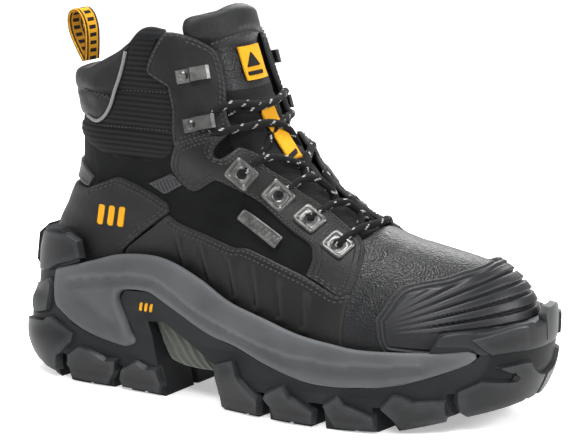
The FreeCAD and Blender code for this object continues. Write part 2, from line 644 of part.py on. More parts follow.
lean = FreeCAD.Rotation(V(0, 1, 0), -size("loop_lean"))
keep(pull, "pull_loop", FreeCAD.Placement(V(36.5, 0, 179.5), lean))

# ---- laces and piping ------------------------------------------------------------------------------------
def cord_tube(points, radius):
    """A tube along straight runs joined by tangent arcs, as large as the runs allow."""
    edges = []
    here = points[0]
    for before, turn, after in zip(points, points[1:], points[2:]):
        run_in = turn - before
        run_out = after - turn
        angle = run_in.getAngle(run_out)
        shorter = min(run_in.Length, run_out.Length)
        reach = 0.45 * shorter
        if angle < 0.02:
            continue
        arc_start = turn - run_in * (reach / run_in.Length)
        arc_end = turn + run_out * (reach / run_out.Length)
        radius_here = reach / math.tan(angle / 2)
        bisector = (arc_start + arc_end) * 0.5 - turn
        centre_distance = math.sqrt(radius_here**2 + reach**2)
        bisector.normalize()
        arc_middle = turn + bisector * (centre_distance - radius_here)
        edges.append(Part.LineSegment(here, arc_start).toShape())
        edges.append(Part.Arc(arc_start, arc_middle, arc_end).toShape())
        here = arc_end
    edges.append(Part.LineSegment(here, points[-1]).toShape())
    path = Part.Wire(edges)
    direction = points[1] - points[0]
    ring = Part.Wire(Part.makeCircle(radius, points[0], direction))
    tube = path.makePipeShell([ring], True, False)
    share = tube.Volume / (math.pi * radius**2 * path.Length)
    print("cord", round(path.Length), "volume share", round(share, 4))
    return tube


piping = [cord_tube([on_skin(x, z, side, 1.1) for x, z in PIPING_LINE], 0.9) for side in SIDES.values()]
shaped("collar_piping", Part.makeCompound(piping))
shaped("lace", cord_tube(lace_route(), size("lace_size") / 2))

# ---- checks and files ------------------------------------------------------------------------------------
doc.recompute()
for item in doc.Objects:
    if "Invalid" in item.State or "Error" in item.State:
        raise RuntimeError(f"{item.Name} did not recompute: {item.State}")
os.makedirs("parts", exist_ok=True)
for item in parts:
    if item.Shape.isNull() or not item.Shape.isValid():
        raise RuntimeError(f"{item.Label} has no valid shape")
    item.Shape.exportStep(f"parts/{item.Label}.step")
    print(item.Label, round(item.Shape.Volume), len(item.Shape.Solids))
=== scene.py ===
"""Looks of the steel toe work boot. Shapes are drawn in millimetres in the boot's own layout
(x = 0 at the back of the heel, z = 0 on the ground, outer side at -y) and moved to the frame's
origin as they become meshes."""
import json
import math

import bmesh
import bpy
import numpy as np
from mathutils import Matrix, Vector
from mathutils.geometry import delaunay_2d_cdt


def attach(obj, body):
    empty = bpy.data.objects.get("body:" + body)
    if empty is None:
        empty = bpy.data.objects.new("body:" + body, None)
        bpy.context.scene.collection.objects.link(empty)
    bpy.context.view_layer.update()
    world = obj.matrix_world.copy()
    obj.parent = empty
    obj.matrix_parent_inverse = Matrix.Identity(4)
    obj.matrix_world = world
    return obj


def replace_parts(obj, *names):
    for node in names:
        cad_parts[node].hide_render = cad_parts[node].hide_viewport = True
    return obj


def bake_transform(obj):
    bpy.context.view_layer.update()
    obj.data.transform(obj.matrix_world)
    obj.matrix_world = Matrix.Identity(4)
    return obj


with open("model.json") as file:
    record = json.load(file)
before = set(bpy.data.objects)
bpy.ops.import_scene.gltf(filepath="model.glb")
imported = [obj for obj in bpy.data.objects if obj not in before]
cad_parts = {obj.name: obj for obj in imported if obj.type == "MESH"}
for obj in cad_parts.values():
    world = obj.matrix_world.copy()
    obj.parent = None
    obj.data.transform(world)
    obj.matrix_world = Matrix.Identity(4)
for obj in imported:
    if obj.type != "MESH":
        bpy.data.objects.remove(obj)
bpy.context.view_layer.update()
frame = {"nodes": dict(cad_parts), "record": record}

LAYOUT_ORIGIN = np.array([164.78, -3.53, 0.0])
LATERAL, MEDIAL = -1, 1
SIDES = {"lateral": LATERAL, "medial": MEDIAL}
MM = 1000


# ---- the last, as in the CAD model ----
# Each pair is a height, or a length along the boot, and the value there.
HEEL_LINE = [(20, 13), (60, 13.5), (80, 19), (100, 29), (120, 37.5), (140, 40.5), (160, 41.5),
             (180, 37.5), (200, 39), (222, 42)]
TOE_LINE = [(20, 317), (45, 316.5), (59, 314), (71, 309), (80, 300), (87, 286), (91.5, 266),
            (97, 242), (104, 222), (115, 202), (129, 184), (146, 168), (168, 156), (187, 148),
            (205, 142), (222, 137), (240, 131)]
HALF_WIDTH = [(0, 36), (30, 37), (60, 38), (110, 39.5), (150, 44), (205, 51.5), (245, 51),
              (280, 48), (317, 45)]
SHAFT_WIDTH = [(40, 0), (90, -1), (130, 1), (160, 3), (190, 4.5), (220, 5)]
CENTRE_LINE = [(0, 0), (60, 0), (120, -2), (190, -5), (240, -3), (280, 2), (320, 7)]
SOLE_BACK = [(0, 18), (8, 9.5), (20, 5), (35, 4), (43, 5), (50, 9.5), (60, 10.5), (90, 15.5)]
SOLE_FRONT = [(0, 290), (14, 314), (25, 321), (45, 325), (68, 324), (90, 316)]
SOLE_FLARE = [(0, -3.5), (12, -1), (20, 1), (30, -1), (60, 0), (90, -1.5)]
LAST_TOE, LAST_FLOOR, LAST_TOP = 317.0, 20.0, 240.0
HEEL_ROUNDING, TOE_ROUNDING, SHIN_ROUNDING = 38.0, 58.0, 46.0
SHAFT_FROM, SHAFT_TO = 112.0, 140.0
FORE_FROM, FORE_RUN = 150, 60
DOME_POWER, ROUND_POWER = 2.5, 2.1
SOLE_OVERHANG = 7.0


def smooth(place, knots):
    """The value at a place on a smooth cubic curve through the knots."""
    xs = np.array([k[0] for k in knots], float)
    ys = np.array([k[1] for k in knots], float)
    place = np.clip(np.asarray(place, float), xs[0], xs[-1])
    slopes = np.gradient(ys, xs)
    i = np.clip(np.searchsorted(xs, place) - 1, 0, len(xs) - 2)
    run = xs[i + 1] - xs[i]
    part = (place - xs[i]) / run
    start = (1 + 2 * part) * (1 - part) ** 2 * ys[i] + part * (1 - part) ** 2 * run * slopes[i]
    return start + part**2 * (3 - 2 * part) * ys[i + 1] + part**2 * (part - 1) * run * slopes[i + 1]


def rounded_end(share):
    share = np.clip(share, 0, 1)
    return (1 - (1 - share) ** ROUND_POWER) ** (1 / ROUND_POWER)


def ease(share):
    share = np.clip(share, 0, 1)
    return share * share * (3 - 2 * share)


RIDGE_Z = np.linspace(LAST_FLOOR, LAST_TOP, 2201)
RIDGE_X = smooth(RIDGE_Z, TOE_LINE)
RIDGE_RUN = np.concatenate([[0], np.cumsum(np.hypot(np.diff(RIDGE_Z), np.diff(RIDGE_X)))])


def ridge_height(x):
    return np.interp(x, RIDGE_X[::-1], RIDGE_Z[::-1])


def ridge_run(z):
    """The length along the middle ridge from the floor of the toe to a height."""
    return np.interp(z, RIDGE_Z, RIDGE_RUN)


def last_width(x, z):
    width = smooth(x, HALF_WIDTH) + smooth(z, SHAFT_WIDTH) * (1 - ease((x - FORE_FROM) / FORE_RUN))
    rise = (z - LAST_FLOOR) / np.maximum(ridge_height(x) - LAST_FLOOR, 1)
    dome = (1 - np.clip(rise, 0, 1) ** DOME_POWER) ** 0.5
    shin = rounded_end((smooth(z, TOE_LINE) - x) / SHIN_ROUNDING)
    upright = ease((z - SHAFT_FROM) / (SHAFT_TO - SHAFT_FROM))
    closing = dome * (1 - upright) + shin * upright
    heel = rounded_end((x - smooth(z, HEEL_LINE)) / HEEL_ROUNDING)
    return width * closing * heel * rounded_end((LAST_TOE - x) / TOE_ROUNDING)


def sole_width(x, z):
    width = smooth(x, HALF_WIDTH) + SOLE_OVERHANG + smooth(z, SOLE_FLARE)
    back = rounded_end((x - smooth(z, SOLE_BACK)) / HEEL_ROUNDING)
    return width * back * rounded_end((smooth(z, SOLE_FRONT) - x) / TOE_ROUNDING)


def unit(vectors):
    """Each vector at length one."""
    return vectors / np.maximum(np.linalg.norm(vectors, axis=-1, keepdims=True), 1e-9)


# ---- charts: flat (p, q) coordinates laid on a surface ----
BEND = 46.0  # radius of the rounded ends that the charts unroll


def roll(length):
    """Distance in x that a length along the rounded end covers."""
    length = np.abs(length)
    turn = BEND * math.pi / 2
    round_part = BEND * (1 - np.cos(np.minimum(length, turn) / BEND))
    return np.where(length < turn, round_part, BEND + length - turn)


def unroll(distance):
    distance = np.maximum(distance, 0)
    inside = BEND * np.arccos(np.clip(1 - distance / BEND, -1, 1))
    return np.where(distance < BEND, inside, BEND * math.pi / 2 + distance - BEND)


class Chart:
    """Base class: place() gives points of the surface, at() gives them moved out along the normal."""
    sign = 1

    def at(self, p, q, out):
        p, q = np.asarray(p, float), np.asarray(q, float)
        step = 0.25
        along = self.place(p + step, q) - self.place(p - step, q)
        up = self.place(p, q + step) - self.place(p, q - step)
        normal = unit(np.cross(along, up) * self.sign)
        return self.place(p, q) + normal * np.asarray(out, float)[..., None]

    def on(self, line, out):
        """Points of a flat line, moved out by one height."""
        return self.at(line[:, 0], line[:, 1], np.full(len(line), out))


class HeelChart(Chart):
    """p is the length round from the back of the heel, negative on the outer side; q is the height."""
    sign = -1

    def place(self, p, q):
        x = smooth(q, HEEL_LINE) + roll(p)
        side = np.where(p < 0, -1, 1)
        return np.stack([x, smooth(x, CENTRE_LINE) + side * last_width(x, q), q], -1)

    def find(self, x, z, side=LATERAL):
        return side * unroll(x - smooth(z, HEEL_LINE)), z


class ToeChart(Chart):
    """p is the length round from the middle ridge, q the length along it from the floor of the toe."""

    def place(self, p, q):
        z = np.interp(q, RIDGE_RUN, RIDGE_Z)
        x = smooth(z, TOE_LINE) - roll(p)
        side = np.where(p < 0, -1, 1)
        return np.stack([x, smooth(x, CENTRE_LINE) + side * last_width(x, z), z], -1)

    def find(self, x, z, side=LATERAL):
        return side * unroll(smooth(z, TOE_LINE) - x), ridge_run(z)


class SideChart(Chart):
    """p is x and q is z, on one flank of the upper."""

    def __init__(self, side, width=last_width):
        self.side = side
        self.sign = -side
        self.width = width

    def place(self, p, q):
        return np.stack([p, smooth(p, CENTRE_LINE) + self.side * self.width(p, q), q], -1)

    def find(self, x, z, side=None):
        return x, z


class SoleChart(Chart):
    """p is the length round from the back or the front of the sole, q is the height."""

    def __init__(self, end, ahead):
        self.end = end
        self.ahead = ahead
        self.sign = -ahead

    def place(self, p, q):
        x = smooth(q, self.end) + self.ahead * roll(p)
        side = np.where(p < 0, -1, 1)
        return np.stack([x, smooth(x, CENTRE_LINE) + side * sole_width(x, q), q], -1)

    def find(self, x, z, side=LATERAL):
        return side * unroll(self.ahead * (x - smooth(z, self.end))), z


HEEL, TOE = HeelChart(), ToeChart()
SOLE_REAR, SOLE_TIP = SoleChart(SOLE_BACK, 1), SoleChart(SOLE_FRONT, -1)
SOLE = {side: SideChart(side, sole_width) for side in (LATERAL, MEDIAL)}


# ---- meshes ----
def make_piece(name, points, faces, material, body="boot"):
    """A smooth-shaded mesh of layout points that rides on a body of the frame."""
    mesh = bpy.data.meshes.new(name)
    mesh.from_pydata(((np.asarray(points) - LAYOUT_ORIGIN) / MM).tolist(), [], faces)
    mesh.validate()
    piece = bpy.data.objects.new(name, mesh)
    bpy.context.scene.collection.objects.link(piece)
    mesh.polygons.foreach_set("use_smooth", [True] * len(mesh.polygons))
    mesh.materials.append(material)
    if body:
        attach(piece, body)
    return piece


def soft_line(points, spacing=1.6):
    """A smooth line through points: Catmull-Rom spans cut into short steps."""
    points = np.asarray(points, float)
    if len(points) == 2:
        spans = [points]
    else:
        ends = np.vstack([2 * points[0] - points[1], points, 2 * points[-1] - points[-2]])
        spans = []
        for a, b, c, d in zip(ends, ends[1:], ends[2:], ends[3:]):
            t = np.linspace(0, 1, 12)[:, None]
            spans.append(0.5 * (2 * b + (c - a) * t + (2 * a - 5 * b + 4 * c - d) * t**2
                                + (3 * b - a - 3 * c + d) * t**3))
    return resample(np.vstack(spans), spacing)


def steps_of(line):
    return np.linalg.norm(np.diff(line, axis=0), axis=1)


def run_of(line):
    """The length along a line from its start to each of its points."""
    return np.concatenate([[0], np.cumsum(steps_of(line))])


def resample(line, spacing):
    line = line[np.concatenate([[True], steps_of(line) > 1e-6])]
    run = run_of(line)
    count = max(int(round(run[-1] / spacing)), 1) + 1
    goal = np.linspace(0, run[-1], count)
    return np.stack([np.interp(goal, run, line[:, k]) for k in range(line.shape[1])], -1)


def straight_steps(points, spacing=1.2):
    """A closed outline with sharp corners, as short straight steps."""
    loop = points + points[:1]
    return np.vstack([resample(np.array(ends, float), spacing)[:-1] for ends in zip(loop, loop[1:])])


def found(chart, flat, side):
    """Layout (x, z) points in the chart's own coordinates."""
    flat = np.asarray(flat, float)
    return np.stack(chart.find(flat[:, 0], flat[:, 1], side), -1)


def cornered(chart, points, side):
    return found(chart, straight_steps(points), side)


def chart_line(chart, points, side=LATERAL):
    """A soft line through (x, z) points, in the chart's own coordinates."""
    return soft_line(found(chart, points, side))


def outline_on(chart, stretches, side=LATERAL):
    """Stretches of (x, z) points, each a soft line, joined into one outline."""
    return np.vstack([chart_line(chart, s, side)[:-1] for s in stretches])


def both_sides(half):
    """A half outline and its mirror image, joined into one round the middle."""
    return np.vstack([half, (half * [-1, 1])[::-1]])


def mirrored_outline(chart, stretches):
    """Stretches from the middle round to the middle again on one side, and their mirror image."""
    half = np.vstack([chart_line(chart, s) for s in stretches])
    half = half[np.concatenate([[True], steps_of(half) > 0.2])]
    return np.vstack([half, (half * [-1, 1])[::-1][1:-1]])


def edge_distance(points, outline):
    """The distance of each point from a closed outline, and whether it lies inside."""
    a, b = outline, np.roll(outline, -1, 0)
    ab = b - a
    best = np.full(len(points), 1e9)
    inside = np.zeros(len(points), bool)
    for (ax, ay), (_, by), (dx, dy) in zip(a, b, ab):
        t = ((points[:, 0] - ax) * dx + (points[:, 1] - ay) * dy) / max(dx * dx + dy * dy, 1e-12)
        t = np.clip(t, 0, 1)
        best = np.minimum(best, np.hypot(points[:, 0] - ax - t * dx, points[:, 1] - ay - t * dy))
        crosses = (ay > points[:, 1]) != (by > points[:, 1])
        if dy:
            inside ^= crosses & (points[:, 0] < ax + (points[:, 1] - ay) * dx / dy)
    return best, inside


def inwards(outline):
    """The unit normals of a closed outline that point to its inside."""
    ahead = np.roll(outline, -1, 0) - np.roll(outline, 1, 0)
    normal = unit(np.stack([-ahead[:, 1], ahead[:, 0]], -1))
    after = np.roll(outline, -1, 0)
    area = np.sum(outline[:, 0] * after[:, 1] - after[:, 0] * outline[:, 1])
    return -normal if area < 0 else normal


RINGS = (0.3, 0.75, 1.4)  # distances of the edge's extra rings of points


def triangulate(outline, spacing):
    """Points and triangles that fill an outline, with rings of points close to its edge."""
    normal = inwards(outline)
    layers = [outline]
    for ring in RINGS:
        points = outline + normal * ring
        away, inside = edge_distance(points, outline)
        layers.append(points[inside & (away > ring * 0.92)])
    low, high = outline.min(0), outline.max(0)
    columns = np.arange(low[0], high[0], spacing)
    rows = np.arange(low[1], high[1], spacing * 0.87)
    grid = np.array([(x + (j % 2) * spacing / 2, y) for j, y in enumerate(rows) for x in columns])
    away, inside = edge_distance(grid, outline)
    layers.append(grid[inside & (away > RINGS[-1] + spacing * 0.45)])
    points = np.vstack(layers)
    loop = list(range(len(outline)))
    found, _, faces, *_ = delaunay_2d_cdt([Vector(p) for p in points], [], [loop], 1, 1e-5)
    return np.array([(v.x, v.y) for v in found]), [list(f) for f in faces]


EDGE_DEPTH, BACK_DEPTH = 0.5, 0.7  # how far a panel's rim and back lie below its base
CHAMFER_ANGLE = math.radians(26)


def leather_panel(name, chart, outline, base, thick, material, relief=None, spacing=2.4, edge=1.3,
                  body="boot", chamfered=False):
    """A panel laid on a chart, closed at the back, with rounded or chamfered edges."""
    flat, faces = triangulate(outline, spacing)
    away, _ = edge_distance(flat, outline)
    rim = away < 1e-3
    share = np.clip(away / edge, 0, 1)
    out = base + thick * (share if chamfered else np.sqrt(1 - (1 - share) ** 2))
    out[rim] = base - EDGE_DEPTH
    if relief is not None:
        out = out + relief(chart.on(flat, 0.0), away)
    front = chart.at(flat[:, 0], flat[:, 1], out)
    back = chart.on(flat, base - BACK_DEPTH)
    count = len(flat)
    under = [i if rim[i] else count + i for i in range(count)]
    all_faces = faces + [[under[i] for i in reversed(f)] for f in faces]
    piece = make_piece(name, np.vstack([front, back]), all_faces, material, body)
    tidy_mesh(piece)
    if chamfered:
        piece.data.set_sharp_from_angle(angle=CHAMFER_ANGLE)
    return piece


def tidy_mesh(piece):
    """Drops loose points and turns every face outwards."""
    edit = bmesh.new()
    edit.from_mesh(piece.data)
    bmesh.ops.delete(edit, geom=[v for v in edit.verts if not v.link_faces], context="VERTS")
    bmesh.ops.recalc_face_normals(edit, faces=edit.faces)
    edit.to_mesh(piece.data)
    edit.free()


# ---- materials ----
class Nodes:
    """A small helper that adds and links shader nodes."""

    def __init__(self, name, slot):
        self.material = bpy.data.materials.new(name)
        self.material.use_nodes = True
        self.material["slot"] = slot
        self.tree = self.material.node_tree
        self.place = self.add("ShaderNodeTexCoord").outputs["Object"]

    def fill(self, node, inputs):
        """Sets each named input to a value, or links it to another node's output."""
        for key, value in inputs.items():
            if isinstance(value, bpy.types.NodeSocket):
                self.tree.links.new(value, node.inputs[key])
            elif value is not None:
                node.inputs[key].default_value = value

    def add(self, kind, inputs=None, **settings):
        node = self.tree.nodes.new(kind)
        for key, value in settings.items():
            setattr(node, key, value)
        self.fill(node, inputs or {})
        return node

    def noise(self, scale, detail=3.0, stretch=None):
        place = self.place
        if stretch:
            mapping = self.add("ShaderNodeMapping", {"Scale": stretch, "Vector": place})
            place = mapping.outputs["Vector"]
        inputs = {"Scale": scale, "Detail": detail, "Vector": place}
        return self.add("ShaderNodeTexNoise", inputs).outputs["Fac"]

    def cells(self, scale):
        inputs = {"Scale": scale, "Vector": self.place}
        return self.add("ShaderNodeTexVoronoi", inputs).outputs["Distance"]

    def bands(self, scale, direction, distortion=0.0):
        inputs = {"Scale": scale, "Distortion": distortion, "Vector": self.place}
        return self.add("ShaderNodeTexWave", inputs, bands_direction=direction).outputs["Fac"]

    def math(self, operation, first, second):
        return self.add("ShaderNodeMath", {0: first, 1: second}, operation=operation).outputs[0]

    def spread(self, source, amount, low):
        """A roughness that varies with the source from low up by the amount."""
        return self.math("ADD", self.math("MULTIPLY", source, amount), low)

    def ramp(self, fac, *stops):
        """A colour ramp between two (position, colour) stops."""
        node = self.add("ShaderNodeValToRGB", {"Fac": fac})
        for element, (position, colour) in zip(node.color_ramp.elements, stops):
            element.position = position
            element.color = (*colour, 1)
        return node.outputs["Color"]

    def bump(self, height, strength, distance, below=None):
        inputs = {"Strength": strength, "Distance": distance, "Height": height, "Normal": below}
        return self.add("ShaderNodeBump", inputs).outputs["Normal"]

    def finish(self, colour, rough, normal, metal=0.0, sheen=0.0, specular=0.5):
        self.fill(self.tree.nodes["Principled BSDF"], {
            "Base Color": colour, "Roughness": rough, "Metallic": metal, "Sheen Weight": sheen,
            "Specular IOR Level": specular, "Normal": normal})
        return self.material


def shade(colour, factor):
    return tuple(min(c * factor, 1.0) for c in colour)


def edge_light(n, colour, tint, amount):
    """The colour with its outer edges rubbed a little paler, as handling leaves them."""
    edges = n.ramp(n.add("ShaderNodeNewGeometry").outputs["Pointiness"],
                   (0.505, (0, 0, 0)), (0.56, (amount, amount, amount)))
    inputs = {"Fac": edges, "Color1": colour, "Color2": (*tint, 1)}
    return n.add("ShaderNodeMixRGB", inputs).outputs["Color"]


def leather(name, slot, colour, grain, depth, rough):
    n = Nodes(name, slot)
    cells = n.cells(grain)
    creases = n.noise(160, 5, (1.0, 2.4, 1.0))
    normal = n.bump(cells, depth, 0.0004, n.bump(creases, 0.35, 0.0008))
    tint = n.ramp(n.noise(28), (0.3, shade(colour, 1 - 0.35)), (0.7, shade(colour, 1 + 0.35)))
    gloss = n.spread(n.noise(300), 0.22, rough - 0.11)
    return n.finish(edge_light(n, tint, shade(colour, 4), 0.45), gloss, normal, specular=0.15)


def nubuck(name, slot, colour):
    n = Nodes(name, slot)
    tint = n.ramp(n.noise(45, 4), (0.3, shade(colour, 0.7)), (0.75, shade(colour, 1.5)))
    return n.finish(tint, 0.93, n.bump(n.noise(1500, 2), 0.5, 0.0003), sheen=0.03, specular=0.08)


def ribbed_cloth(name, slot, colour):
    n = Nodes(name, slot)
    rib = n.bands(110, "Z", 0.15)
    tint = n.ramp(rib, (0.1, shade(colour, 0.5)), (0.7, shade(colour, 1.35)))
    worn = edge_light(n, tint, shade(colour, 2.5), 0.4)
    normal = n.bump(rib, 0.4, 0.0005, n.bump(n.noise(1800, 2), 0.5, 0.0003))
    return n.finish(worn, 0.85, normal, sheen=0.02, specular=0.08)


def woven(name, slot, colour, scale=420):
    n = Nodes(name, slot)
    weave = n.math("MULTIPLY", n.bands(scale, "DIAGONAL"), n.bands(scale * 0.9, "Z"))
    tint = n.ramp(weave, (0.0, shade(colour, 0.5)), (0.6, shade(colour, 1.3)))
    return n.finish(tint, 0.85, n.bump(weave, 0.7, 0.0006), sheen=0.02, specular=0.1)


def rubber(name, slot, colour, rough=0.5, speck=1100, specular=0.3, wear=0.5):
    n = Nodes(name, slot)
    smear = n.noise(35, 4)
    tint = n.ramp(smear, (0.25, shade(colour, 0.78)), (0.75, shade(colour, 1.25)))
    gloss = n.spread(smear, 0.25, rough - 0.12)
    worn = edge_light(n, tint, shade(colour, 3.2), wear)
    return n.finish(worn, gloss, n.bump(n.noise(speck), 0.25, 0.0003), specular=specular)


def metal(name, slot, colour, rough):
    n = Nodes(name, slot)
    stain = n.noise(220, 4)
    brush = n.noise(900, 2, (1.0, 1.0, 6.0))
    tint = n.ramp(stain, (0.3, shade(colour, 0.6)), (0.7, shade(colour, 1.25)))
    gloss = n.spread(brush, 0.25, rough - 0.1)
    return n.finish(tint, gloss, n.bump(brush, 0.15, 0.0002), metal=0.9)


MAT = {
    "vamp": leather("vamp_leather", "full_grain_leather", (0.0078, 0.0081, 0.0087), 800, 0.6, 0.38),
    "smooth": leather("shaft_leather", "full_grain_leather", (0.0052, 0.0054, 0.0058), 1500, 0.35,
                      0.47),
    "quarter": leather("quarter_leather", "quarter_leather", (0.0064, 0.0062, 0.0060), 1300, 0.35,
                       0.45),
    "nubuck": nubuck("side_nubuck", "nubuck", (0.0030, 0.0032, 0.0034)),
    "cuff": ribbed_cloth("cuff_textile", "ribbed_textile", (0.0065, 0.0068, 0.0072)),
    "mesh": woven("tongue_mesh", "tongue_textile", (0.0085, 0.0088, 0.0092)),
    "lining": woven("lining_cloth", "lining_mesh", (0.010, 0.0105, 0.011), 300),
    "outsole": rubber("outsole_black", "outsole_rubber", (0.0072, 0.0076, 0.0082), 0.46, specular=0.16),
    "bumper": rubber("bumper_black", "bumper_rubber", (0.0098, 0.0101, 0.0112), 0.40, specular=0.17),
    "midsole": rubber("midsole_grey", "midsole_foam", (0.044, 0.0465, 0.0485), 0.58, 700, 0.12, 0.25),
    "arch": rubber("arch_grey", "arch_plastic", (0.040, 0.044, 0.037), 0.5, 900, 0.2, 0.3),
    "tpu": rubber("heel_black", "heel_plastic", (0.0095, 0.0098, 0.0108), 0.4, specular=0.2),
    "nickel": metal("antique_nickel", "fitting_metal", (0.085, 0.085, 0.083), 0.36),
    "steel": metal("pressed_steel", "steel", (0.35, 0.35, 0.36), 0.3),
    "board": woven("board_fibre", "board_fibre", (0.22, 0.17, 0.11), 700),
    "footbed": woven("footbed_cloth", "footbed_foam", (0.02, 0.02, 0.022), 500),
    "foam": rubber("padding_foam", "foam", (0.03, 0.03, 0.03), 0.9),
    "yellow": woven("amber_weave", "yellow_trim", (0.78, 0.36, 0.012), 900),
    "piping": woven("grey_piping", "piping_grey", (0.22, 0.22, 0.215), 800),
    "collar": leather("collar_leather", "full_grain_leather", (0.0042, 0.0044, 0.0048), 1700, 0.25,
                      0.5),
    # a darker copy of the outsole rubber: painted shade for the gaps between the lugs, where light does
    # not reach
    "wall": rubber("outsole_wall", "outsole_rubber", (0.0052, 0.0055, 0.0060), 0.55, specular=0.08),
    "thread": woven("dark_thread", "full_grain_leather", (0.058, 0.057, 0.055), 1500),
    "lace": woven("lace_black", "lace_cord", (0.0075, 0.0075, 0.008), 1100),
    "fleck": woven("lace_pale", "lace_cord", (0.36, 0.36, 0.35), 1100),
    "ink": woven("black_print", "yellow_trim", (0.006, 0.006, 0.0065), 1300),
}

SLOT_MATERIAL = {}
for made in MAT.values():
    SLOT_MATERIAL.setdefault(made["slot"], made)
for row in frame["record"]["subparts"]:
    node = frame["nodes"][row["node"]]
    node.data.materials.clear()
    node.data.materials.append(SLOT_MATERIAL[row["material_slot"]])
# the CAD outsole, the wall between the lugs, gets the darker copy of its rubber as painted shade; the
# hook rivets get nickel
for name, material in (("outsole", "wall"), ("hook_rivets", "nickel")):
    frame["nodes"][name].data.materials[0] = MAT[material]


def aimed(thing, place, target):
    thing.location = place
    thing.rotation_mode = "QUATERNION"
    thing.rotation_quaternion = (target - place).to_track_quat("-Z", "Y")


TARGET = Vector((0.00692, 0.00353, 0.0982))
VIEW_TURN, VIEW_RISE, VIEW_DISTANCE = math.radians(30), math.radians(11), 1.5
SENSOR_WIDTH, LENS = 36, 164.67
camera = bpy.data.objects.new("camera", bpy.data.cameras.new("camera"))
bpy.context.scene.collection.objects.link(camera)
camera.data.sensor_width = SENSOR_WIDTH
camera.data.lens = LENS
towards = Vector((math.sin(VIEW_TURN) * math.cos(VIEW_RISE),
                  -math.cos(VIEW_TURN) * math.cos(VIEW_RISE), math.sin(VIEW_RISE)))
aimed(camera, TARGET + towards * VIEW_DISTANCE, TARGET)
bpy.context.scene.camera = camera


LIGHTS_AIM = Vector((0, 0, 0.08))
LIGHTS = [  # name, place in metres, size, power
    ("key_light", (0.35, -0.95, 1.0), 0.4, 12),
    ("side_light", (-1.0, -0.5, 0.55), 0.5, 4),
    ("front_light", (1.1, 0.15, 0.65), 0.4, 12),
    ("rim_light", (-0.2, 1.0, 0.8), 0.7, 12),
    ("top_light", (-0.1, -0.1, 1.3), 0.35, 22),
]
for name, place, size, energy in LIGHTS:
    lamp = bpy.data.lights.new(name, "AREA")
    lamp.size = size
    lamp.energy = energy
    light = bpy.data.objects.new(name, lamp)
    bpy.context.scene.collection.objects.link(light)
    aimed(light, Vector(place), LIGHTS_AIM)

world = bpy.data.worlds.new("studio")
world.use_nodes = True
world.node_tree.nodes["Background"].inputs["Color"].default_value = (1, 1, 1, 1)
world.node_tree.nodes["Background"].inputs["Strength"].default_value = 0.62
bpy.context.scene.world = world
bpy.context.scene.view_settings.view_transform = "Standard"

floor_mesh = bpy.data.meshes.new("floor")
REACH, DROP = 40, -0.0002
corners = [(-REACH, -REACH, DROP), (REACH, -REACH, DROP), (REACH, REACH, DROP), (-REACH, REACH, DROP)]
floor_mesh.from_pydata(corners, [], [(0, 1, 2, 3)])
floor = bpy.data.objects.new("floor", floor_mesh)
bpy.context.scene.collection.objects.link(floor)
pale = bpy.data.materials.new("pale_floor")
pale.use_nodes = True
for socket, value in (("Base Color", (0.92, 0.92, 0.92, 1)), ("Roughness", 0.85),
                      ("Emission Color", (1, 1, 1, 1)), ("Emission Strength", 0.4)):
    pale.node_tree.nodes["Principled BSDF"].inputs[socket].default_value = value
floor_mesh.materials.append(pale)


# ---- outlines, as (x, z) seen from the side ----
MUDGUARD_TOP = [(114, 103), (122, 99), (140, 95), (159, 90), (169, 90), (187, 85), (206, 79),
                (218, 74), (226, 71), (233, 72)]
MUDGUARD = [
    MUDGUARD_TOP, [(233, 72), (234, 38)],
    [(234, 38), (206, 42), (188, 46), (163, 52), (143, 60), (122, 66), (84, 66)],
    [(84, 66), (84, 80)], [(84, 80), (101, 93), (114, 103)]]
EYESTAY = [
    [(122, 143), (118, 130), (126, 121)],
    [(126, 121), (134, 118), (147, 125), (152, 125), (166, 118), (178, 110), (190, 102), (203, 95),
     (207, 89), (206, 79)],
    [(206, 79), (226, 70), (233, 72)], [(233, 72), (234.5, 84), (232, 93), (226, 98)],
    [(226, 98), (218, 102), (208, 108), (201, 112), (190, 119), (183, 125), (172, 133), (167, 139),
     (158, 144)],
    [(158, 144), (151, 138), (147, 140), (148, 145), (153, 152)],
    [(153, 152), (138, 149), (122, 143)]]
ANKLE = [
    [(122, 142), (138, 147), (153, 153)],
    [(153, 153), (149, 161), (146, 174), (142, 186), (138, 195), (131, 201), (122, 204.5), (114, 205)],
    [(114, 205), (109, 196), (105, 187), (104, 182)], [(104, 182), (110, 179), (118, 175)],
    [(118, 175), (121, 160), (122, 142)]]
SIDE_PANEL = [
    [(60, 142), (76, 138), (94, 134), (118, 141)],
    [(118, 141), (150, 131), (166, 121), (190, 106), (210, 92)], [(210, 92), (212, 74)],
    [(212, 74), (187, 80), (159, 85), (120, 92), (96, 96)], [(96, 96), (60, 108)],
    [(60, 108), (60, 142)]]
COUNTER_TOP = [(57, 112), (69, 117), (80, 121), (89, 119), (98, 116), (106, 113), (114, 109)]
COUNTER_FRONT = [(114, 109), (115, 104), (108, 99), (96, 90), (84, 79)]
COUNTER = [
    [(24.5, 110.5), (26, 110.6), (36, 111), (57, 112)], COUNTER_TOP, COUNTER_FRONT,
    [(84, 79), (84, 58)], [(84, 58), (40, 56), (14, 56), (12.2, 56)]]
VAMP = [
    [(229.5, 101.6), (229.4, 100.2), (229, 98.5), (227, 96), (224, 90), (223, 80)],
    [(223, 80), (223, 36)], [(223, 36), (262, 34), (300, 36), (317, 38)]]
BUMPER = [
    [(291.5, 85.0), (291.3, 84.8), (290.4, 84.2), (288, 83.4), (283, 82), (277, 80), (267, 78.5),
     (258, 76), (254, 71)],
    [(254, 71), (249, 60)], [(249, 60), (252, 50), (256, 42)],
    [(256, 42), (290, 40), (316.6, 40)]]
TOP_LINE = [(31, 177), (42, 177), (60, 180), (80, 189), (92, 197)]
CUFF_TOP_LINE = [(92, 197), (99, 204), (106, 206), (114, 205)]
COLLAR_FRONT = [(92, 197), (90, 190), (86, 179), (82, 169), (78, 160), (74, 155), (68, 152), (60, 153)]
